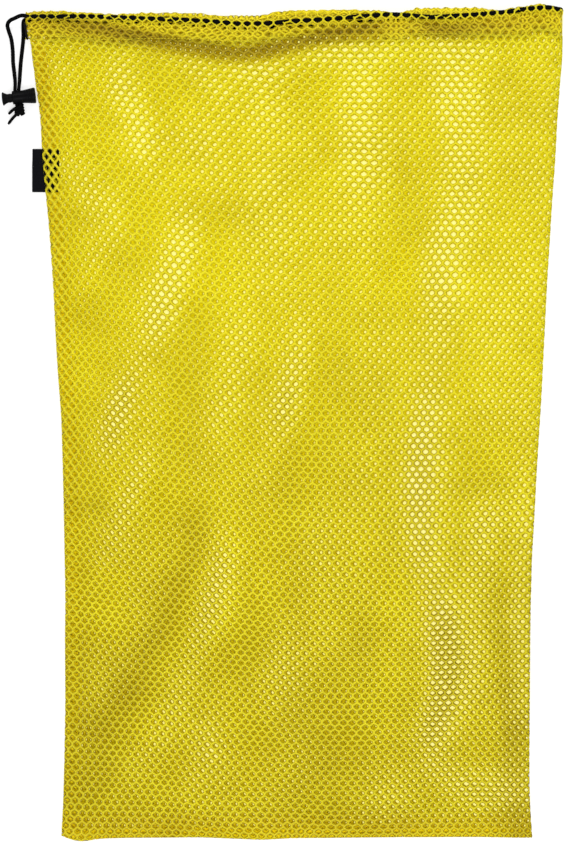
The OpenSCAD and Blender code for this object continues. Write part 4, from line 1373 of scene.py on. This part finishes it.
def yarn_material(name, deep, mid, light, translucent, bump=0.55, rough=0.50, scale=1.0, spec=0.35, painted_glow=0.0):
    """Knitted polyester yarn: fine filaments, looped relief, light that passes through."""
    m, nt, out = new_mat(name)
    tex = nt.nodes.new("ShaderNodeTexCoord")
    obj = tex.outputs["Object"]
    n1 = node(nt, "ShaderNodeTexNoise", Scale=38.0, Detail=3.0, Roughness=0.6)
    n2 = node(nt, "ShaderNodeTexNoise", Scale=900.0, Detail=4.0, Roughness=0.65)
    wv = node(nt, "ShaderNodeTexWave", Scale=520.0 * scale, Distortion=7.0, Detail=3.0)
    wv.inputs["Detail Scale"].default_value = 2.2
    wv.bands_direction = "DIAGONAL"
    wv2 = node(nt, "ShaderNodeTexWave", Scale=1500.0 * scale, Distortion=3.0, Detail=2.0)
    wv2.bands_direction = "Y"
    for n in (n1, n2, wv, wv2):
        nt.links.new(obj, n.inputs["Vector"])
    f = math_node(nt, "MULTIPLY", n1.outputs["Fac"], 0.55)
    g = math_node(nt, "MULTIPLY", n2.outputs["Fac"], 0.45)
    col = ramp(nt, math_node(nt, "ADD", f, g), [(0.30, deep), (0.5, mid), (0.72, light)])
    hgt = math_node(nt, "ADD", math_node(nt, "MULTIPLY", wv.outputs["Fac"], 0.55),
                    math_node(nt, "ADD", math_node(nt, "MULTIPLY", wv2.outputs["Fac"], 0.2),
                              math_node(nt, "MULTIPLY", n2.outputs["Fac"], 0.5)))
    bm = node(nt, "ShaderNodeBump", Strength=bump, Distance=0.00022)
    nt.links.new(hgt, bm.inputs["Height"])
    # painted shade and painted light from the mesh darken or lighten the colour, and the orange lean takes green out
    # where the cloth is shaded
    at = nt.nodes.new("ShaderNodeAttribute")
    at.attribute_name = "painted_shade_and_mottle"
    dark = math_node(nt, "SUBTRACT", 1.0, at.outputs["Fac"])
    tint = nt.nodes.new("ShaderNodeCombineColor")
    nt.links.new(dark, tint.inputs[0])
    wm = nt.nodes.new("ShaderNodeAttribute")
    wm.attribute_name = "warm"
    nt.links.new(math_node(nt, "MULTIPLY", math_node(nt, "POWER", dark, 1.30),
                           math_node(nt, "SUBTRACT", 1.0, wm.outputs["Fac"])), tint.inputs[1])
    nt.links.new(math_node(nt, "POWER", dark, 3.0), tint.inputs[2])
    mul = nt.nodes.new("ShaderNodeMix")
    mul.data_type = "RGBA"
    mul.blend_type = "MULTIPLY"
    mul.inputs[0].default_value = 1.0
    nt.links.new(col, mul.inputs[6])
    nt.links.new(tint.outputs[0], mul.inputs[7])
    col = mul.outputs[2]
    p = node(nt, "ShaderNodeBsdfPrincipled", Roughness=rough)
    p.inputs["Specular IOR Level"].default_value = spec
    p.inputs["Sheen Weight"].default_value = 0.08
    p.inputs["Sheen Roughness"].default_value = 0.45
    nt.links.new(col, p.inputs["Base Color"])
    nt.links.new(bm.outputs["Normal"], p.inputs["Normal"])
    if painted_glow:  # painted light: the yarn glows a little of its own, though it is no lamp
        nt.links.new(col, p.inputs["Emission Color"])
        p.inputs["Emission Strength"].default_value = painted_glow
    t = node(nt, "ShaderNodeBsdfTranslucent")
    nt.links.new(col, t.inputs["Color"])
    nt.links.new(bm.outputs["Normal"], t.inputs["Normal"])
    mx = node(nt, "ShaderNodeMixShader")
    mx.inputs["Fac"].default_value = translucent
    nt.links.new(p.outputs[0], mx.inputs[1])
    nt.links.new(t.outputs[0], mx.inputs[2])
    nt.links.new(mx.outputs[0], out.inputs["Surface"])
    return m


def cord_material(name, base=(0.0012, 0.0012, 0.0014), rough=0.85):
    m, nt, out = new_mat(name)
    uv = node(nt, "ShaderNodeUVMap")
    uv.uv_map = "run"
    mp = nt.nodes.new("ShaderNodeMapping")
    mp.inputs["Scale"].default_value = (1.0, 9.4, 1.0)
    nt.links.new(uv.outputs["UV"], mp.inputs["Vector"])
    wa = node(nt, "ShaderNodeTexWave", Scale=2.6, Distortion=1.2, Detail=2.0)
    wa.bands_direction = "DIAGONAL"
    nz = node(nt, "ShaderNodeTexNoise", Scale=6.0, Detail=4.0, Roughness=0.7)
    for n in (wa, nz):
        nt.links.new(mp.outputs["Vector"], n.inputs["Vector"])
    tex = nt.nodes.new("ShaderNodeTexCoord")
    n3 = node(nt, "ShaderNodeTexNoise", Scale=2600.0, Detail=3.0, Roughness=0.6)
    nt.links.new(tex.outputs["Object"], n3.inputs["Vector"])
    col = ramp(nt, n3.outputs["Fac"], [(0.3, tuple(c * 0.6 for c in base)), (0.55, base), (0.8, tuple(c * 2.6 for c in base))])
    h = math_node(nt, "ADD", math_node(nt, "MULTIPLY", wa.outputs["Fac"], 0.5), math_node(nt, "MULTIPLY", n3.outputs["Fac"], 0.5))
    bm = node(nt, "ShaderNodeBump", Strength=0.55, Distance=0.00012)
    nt.links.new(h, bm.inputs["Height"])
    p = node(nt, "ShaderNodeBsdfPrincipled", Roughness=rough)
    p.inputs["Specular IOR Level"].default_value = 0.06
    p.inputs["Sheen Weight"].default_value = 0.0
    nt.links.new(col, p.inputs["Base Color"])
    nt.links.new(bm.outputs["Normal"], p.inputs["Normal"])
    nt.links.new(p.outputs[0], out.inputs["Surface"])
    return m


def plastic_material(name, base=(0.0019, 0.0019, 0.0021), rough=0.44):
    m, nt, out = new_mat(name)
    tex = nt.nodes.new("ShaderNodeTexCoord")
    n1 = node(nt, "ShaderNodeTexNoise", Scale=700.0, Detail=4.0, Roughness=0.6)
    n2 = node(nt, "ShaderNodeTexNoise", Scale=90.0, Detail=3.0, Roughness=0.5)
    vo = node(nt, "ShaderNodeTexVoronoi", Scale=1900.0)
    for n in (n1, n2, vo):
        nt.links.new(tex.outputs["Object"], n.inputs["Vector"])
    r = math_node(nt, "ADD", math_node(nt, "MULTIPLY", n2.outputs["Fac"], 0.22), rough - 0.11)
    col = ramp(nt, n1.outputs["Fac"], [(0.35, base), (0.75, tuple(c * 1.5 for c in base))])
    h = math_node(nt, "ADD", math_node(nt, "MULTIPLY", n1.outputs["Fac"], 0.4),
                  math_node(nt, "MULTIPLY", vo.outputs["Distance"], 0.6))
    bm = node(nt, "ShaderNodeBump", Strength=0.16, Distance=0.00006)
    nt.links.new(h, bm.inputs["Height"])
    p = node(nt, "ShaderNodeBsdfPrincipled")
    p.inputs["Specular IOR Level"].default_value = 0.05
    nt.links.new(col, p.inputs["Base Color"])
    nt.links.new(r, p.inputs["Roughness"])
    nt.links.new(bm.outputs["Normal"], p.inputs["Normal"])
    nt.links.new(p.outputs[0], out.inputs["Surface"])
    return m


def woven_material(name, base, light, warp=1500.0, weft=2300.0, rough=0.5, spec=0.4, bump=0.5):
    m, nt, out = new_mat(name)
    tex = nt.nodes.new("ShaderNodeTexCoord")
    wx = node(nt, "ShaderNodeTexWave", Scale=warp / 6.2, Distortion=0.35, Detail=1.0)
    wx.bands_direction = "Y"
    wy = node(nt, "ShaderNodeTexWave", Scale=weft / 6.2, Distortion=0.35, Detail=1.0)
    wy.bands_direction = "X"
    nz = node(nt, "ShaderNodeTexNoise", Scale=450.0, Detail=4.0, Roughness=0.65)
    for n in (wx, wy, nz):
        nt.links.new(tex.outputs["Object"], n.inputs["Vector"])
    h = math_node(nt, "MULTIPLY", wx.outputs["Fac"], wy.outputs["Fac"])
    h2 = math_node(nt, "ADD", h, math_node(nt, "MULTIPLY", nz.outputs["Fac"], 0.35))
    col = ramp(nt, h2, [(0.15, tuple(c * 0.5 for c in base)), (0.6, base), (1.0, light)])
    bm = node(nt, "ShaderNodeBump", Strength=bump, Distance=0.0001)
    nt.links.new(h2, bm.inputs["Height"])
    p = node(nt, "ShaderNodeBsdfPrincipled", Roughness=rough)
    p.inputs["Specular IOR Level"].default_value = spec
    nt.links.new(col, p.inputs["Base Color"])
    nt.links.new(bm.outputs["Normal"], p.inputs["Normal"])
    nt.links.new(p.outputs[0], out.inputs["Surface"])
    return m


def metal_material(name):
    m, nt, out = new_mat(name)
    tex = nt.nodes.new("ShaderNodeTexCoord")
    n1 = node(nt, "ShaderNodeTexNoise", Scale=900.0, Detail=3.0)
    nt.links.new(tex.outputs["Object"], n1.inputs["Vector"])
    bm = node(nt, "ShaderNodeBump", Strength=0.12, Distance=0.00003)
    nt.links.new(n1.outputs["Fac"], bm.inputs["Height"])
    p = node(nt, "ShaderNodeBsdfPrincipled", Metallic=1.0)
    p.inputs["Base Color"].default_value = (0.62, 0.61, 0.58, 1)
    nt.links.new(math_node(nt, "ADD", math_node(nt, "MULTIPLY", n1.outputs["Fac"], 0.2), 0.2), p.inputs["Roughness"])
    nt.links.new(bm.outputs["Normal"], p.inputs["Normal"])
    nt.links.new(p.outputs[0], out.inputs["Surface"])
    return m


YARN = yarn_material("yellow_net_yarn", (0.88, 0.805, 0.008), (0.94, 0.878, 0.012), (0.97, 0.925, 0.026), 0.45, spec=0.36)
# the back leaf's yarn: a lit copy with painted glow, to lighten it where the front leaf shades it
YARN_B = yarn_material("yellow_net_yarn_back", (0.90, 0.825, 0.004), (0.95, 0.89, 0.006), (0.97, 0.925, 0.012), 0.50,
                       spec=0.15, painted_glow=0.10)
YARN_H = yarn_material("yellow_hem_yarn", (0.88, 0.79, 0.005), (0.95, 0.87, 0.010), (0.98, 0.93, 0.030), 0.46, spec=0.30)
# the seam allowances' yarn, with painted glow to lighten them in the leaves' shade
YARN_S = yarn_material("yellow_seam_yarn", (0.90, 0.78, 0.002), (0.95, 0.85, 0.003), (0.97, 0.89, 0.006), 0.50, spec=0.12,
                       painted_glow=0.20)
THREAD = yarn_material("yellow_sewing_thread", (0.78, 0.66, 0.012), (0.88, 0.78, 0.02), (0.94, 0.87, 0.04), 0.12,
                       bump=0.5, scale=2.2, rough=0.45)
CORD = cord_material("black_braided_cord")
LOCK = plastic_material("black_lock_body")
BUTTON = plastic_material("black_lock_button", (0.0022, 0.0022, 0.0024), 0.48)
LABEL = woven_material("black_label_weave", (0.0016, 0.0017, 0.0030), (0.0060, 0.0062, 0.010), spec=0.07, rough=0.7)
TAPE = woven_material("black_tape_weave", (0.0035, 0.0032, 0.0032), (0.014, 0.012, 0.011), 900.0, 1300.0, 0.8, 0.10, 0.8)
WIRE = metal_material("spring_steel")


def dress(ob, mat):
    ob.data.materials.clear()
    ob.data.materials.append(mat)


for o, mat, sl in ((front_net, YARN, "net"), (back_net, YARN_B, "net"), (front_hem, YARN_H, "hem_net"),
                   (back_hem, YARN_H, "hem_net"), (side_a, YARN_S, "seam_net"), (side_b, YARN_S, "seam_net"),
                   (bot_a, YARN_S, "seam_net"), (bot_b, YARN_S, "seam_net"), (side_thread, THREAD, "thread"),
                   (bottom_thread, THREAD, "thread"), (front_stitch, THREAD, "thread"), (back_stitch, THREAD, "thread"),
                   (label_ob, LABEL, "label_cloth"), (tape_ob, TAPE, "black_tape"), (strand_l, CORD, "cord"),
                   (strand_r, CORD, "cord"), (low_l, CORD, "cord"), (low_r, CORD, "cord"), (drawcord, CORD, "cord"),
                   (knot_pair[0][0], CORD, "cord"), (knot_pair[1][0], CORD, "cord"), (tail_u, CORD, "cord"),
                   (tail_d, CORD, "cord"), (housing, LOCK, "lock_body"), (button, BUTTON, "lock_button"),
                   (spring, WIRE, "spring_wire")):
    dress(o, mat)

# ------------------------------------------------------------------ what stands for what, and what rides on what
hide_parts("front_panel")
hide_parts("back_panel")
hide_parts("front_casing")
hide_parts("back_casing")
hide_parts("side_seam_allowance")
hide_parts("bottom_seam_allowance")
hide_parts("side_seam_thread")
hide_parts("bottom_seam_thread")
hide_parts("front_hem_stitching")
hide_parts("back_hem_stitching")
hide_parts("label")
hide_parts("casing_end_tape")
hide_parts("drawcord_in_casing")
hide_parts("strand_left")
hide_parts("strand_right")
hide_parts("strand_left_lower")
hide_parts("strand_right_lower")
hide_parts("knot")
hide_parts("tail_upper")
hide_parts("tail_lower")
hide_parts("lock_housing")
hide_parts("lock_plunger")
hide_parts("lock_spring")

for o in (front_net, back_net, front_hem, back_hem, side_a, side_b, bot_a, bot_b, side_thread, bottom_thread,
          front_stitch, back_stitch, label_ob, tape_ob, drawcord, knot_pair[0][0], knot_pair[1][0], tail_u, tail_d):
    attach(o, "bag")
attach(housing, "cord_lock")
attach(button, "plunger")
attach(spring, "cord_lock")
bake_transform(strand_l)
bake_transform(strand_r)
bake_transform(low_l)
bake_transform(low_r)
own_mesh(spring)


W_TOP = float((R_EDGE(20) - L_EDGE(20)) * K)
W_BOT = float((R_EDGE(830) - L_EDGE(830)) * K)
ys = np.linspace(12 + HEM_H, 838, 400)
wd = (R_EDGE(ys) - L_EDGE(ys)) * K

# ------------------------------------------------------------------ studio
def floor_material():
    """A matt white table that glows a little; under the net the glow is yarn-coloured, painted light for the light that
    comes through the yarn.
    """
    m, nt, out = new_mat("white_table")
    tex = nt.nodes.new("ShaderNodeTexCoord")
    n1 = node(nt, "ShaderNodeTexNoise", Scale=6.0, Detail=2.0)
    nt.links.new(tex.outputs["Object"], n1.inputs["Vector"])
    col = ramp(nt, n1.outputs["Fac"], [(0.3, (0.41, 0.41, 0.41)), (0.7, (0.43, 0.43, 0.43))])
    under = nt.nodes.new("ShaderNodeAttribute")
    under.attribute_name = "under"
    glow = nt.nodes.new("ShaderNodeMix")
    glow.data_type = "RGBA"
    nt.links.new(under.outputs["Fac"], glow.inputs[0])
    glow.inputs[6].default_value = GLOW_OUT
    glow.inputs[7].default_value = PAINTED_LIGHT_UNDER_NET
    p = node(nt, "ShaderNodeBsdfPrincipled", Roughness=0.9)
    p.inputs["Specular IOR Level"].default_value = 0.0
    nt.links.new(col, p.inputs["Base Color"])
    nt.links.new(glow.outputs[2], p.inputs["Emission Color"])
    p.inputs["Emission Strength"].default_value = 1.0
    nt.links.new(p.outputs[0], out.inputs["Surface"])
    return m


GLOW_OUT = (0.66, 0.66, 0.66, 1)
# painted light: the table's yellow glow under the net
PAINTED_LIGHT_UNDER_NET = (0.76, 0.69, 0.12, 1)


def outline(inset):
    """The bag's outline on the table, set in by some grid units."""
    u = np.linspace(0, 1, 40)
    x0, x1 = L_EDGE(20.0) + inset, R_EDGE(20.0) - inset
    top = [(x, T_EDGE(x) + inset) for x in x0 + u * (x1 - x0)]
    right = [(R_EDGE(y) - inset, y) for y in 20 + inset + u * (808 - 2 * inset)]
    x0, x1 = L_EDGE(832.0) + inset, R_EDGE(832.0) - inset
    bottom = [(x, B_EDGE(x) - inset) for x in x1 - u * (x1 - x0)]
    left = [(L_EDGE(y) + inset, y) for y in 828 - inset - u * (808 - 2 * inset)]
    left[-1], top[0] = (left[-1][0] - 2.6, left[-1][1]), (top[0][0] - 2.6, top[0][1])  # under the hem's corner
    return [(GX(float(x)), GY(float(y)), -0.0004) for x, y in top + right + bottom + left]


far = []
for x, y, z in outline(1.0):
    f = 6.0 / max(abs(x), abs(y))
    far.append((x * f, y * f, z))
rings = [far, outline(0.6), outline(2.2)]
nr = len(far)
fv = [p for r in rings for p in r] + [(0.0, 0.0, -0.0004)]
ff = []
for r in range(2):
    for k in range(nr):
        k2 = (k + 1) % nr
        ff.append((r * nr + k, (r + 1) * nr + k, (r + 1) * nr + k2, r * nr + k2))
for k in range(nr):
    ff.append((2 * nr + k, 3 * nr, 2 * nr + (k + 1) % nr))
floor = add_mesh("floor", fv, ff, False)
# 1 under the net, where the table glows with painted yarn-coloured light
fa = floor.data.attributes.new("under", "FLOAT", "POINT")
fa.data.foreach_set("value", np.array([0.0] * (2 * nr) + [1.0] * (nr + 1), np.float32))
floor.data.materials.append(floor_material())

world = bpy.data.worlds.new("studio")
scene.world = world
world.use_nodes = True
bg = world.node_tree.nodes["Background"]
bg.inputs["Color"].default_value = (1, 1, 1, 1)
bg.inputs["Strength"].default_value = 0.54


def area(name, loc, target, size, energy, color=(1, 1, 1)):
    ld = bpy.data.lights.new(name, "AREA")
    ld.shape = "RECTANGLE"
    ld.size, ld.size_y = size
    ld.energy = energy
    ld.color = color
    ob = bpy.data.objects.new(name, ld)
    scene.collection.objects.link(ob)
    ob.location = loc
    d = Vector(target) - Vector(loc)
    ob.rotation_euler = d.to_track_quat("-Z", "Y").to_euler()
    return ob


area("key", (0.0, 1.55, 1.15), (0, 0.05, 0), (1.5, 0.5), 16.5)
area("fill", (0.1, -0.85, 2.0), (0, -0.28, 0), (1.5, 0.9), 30)
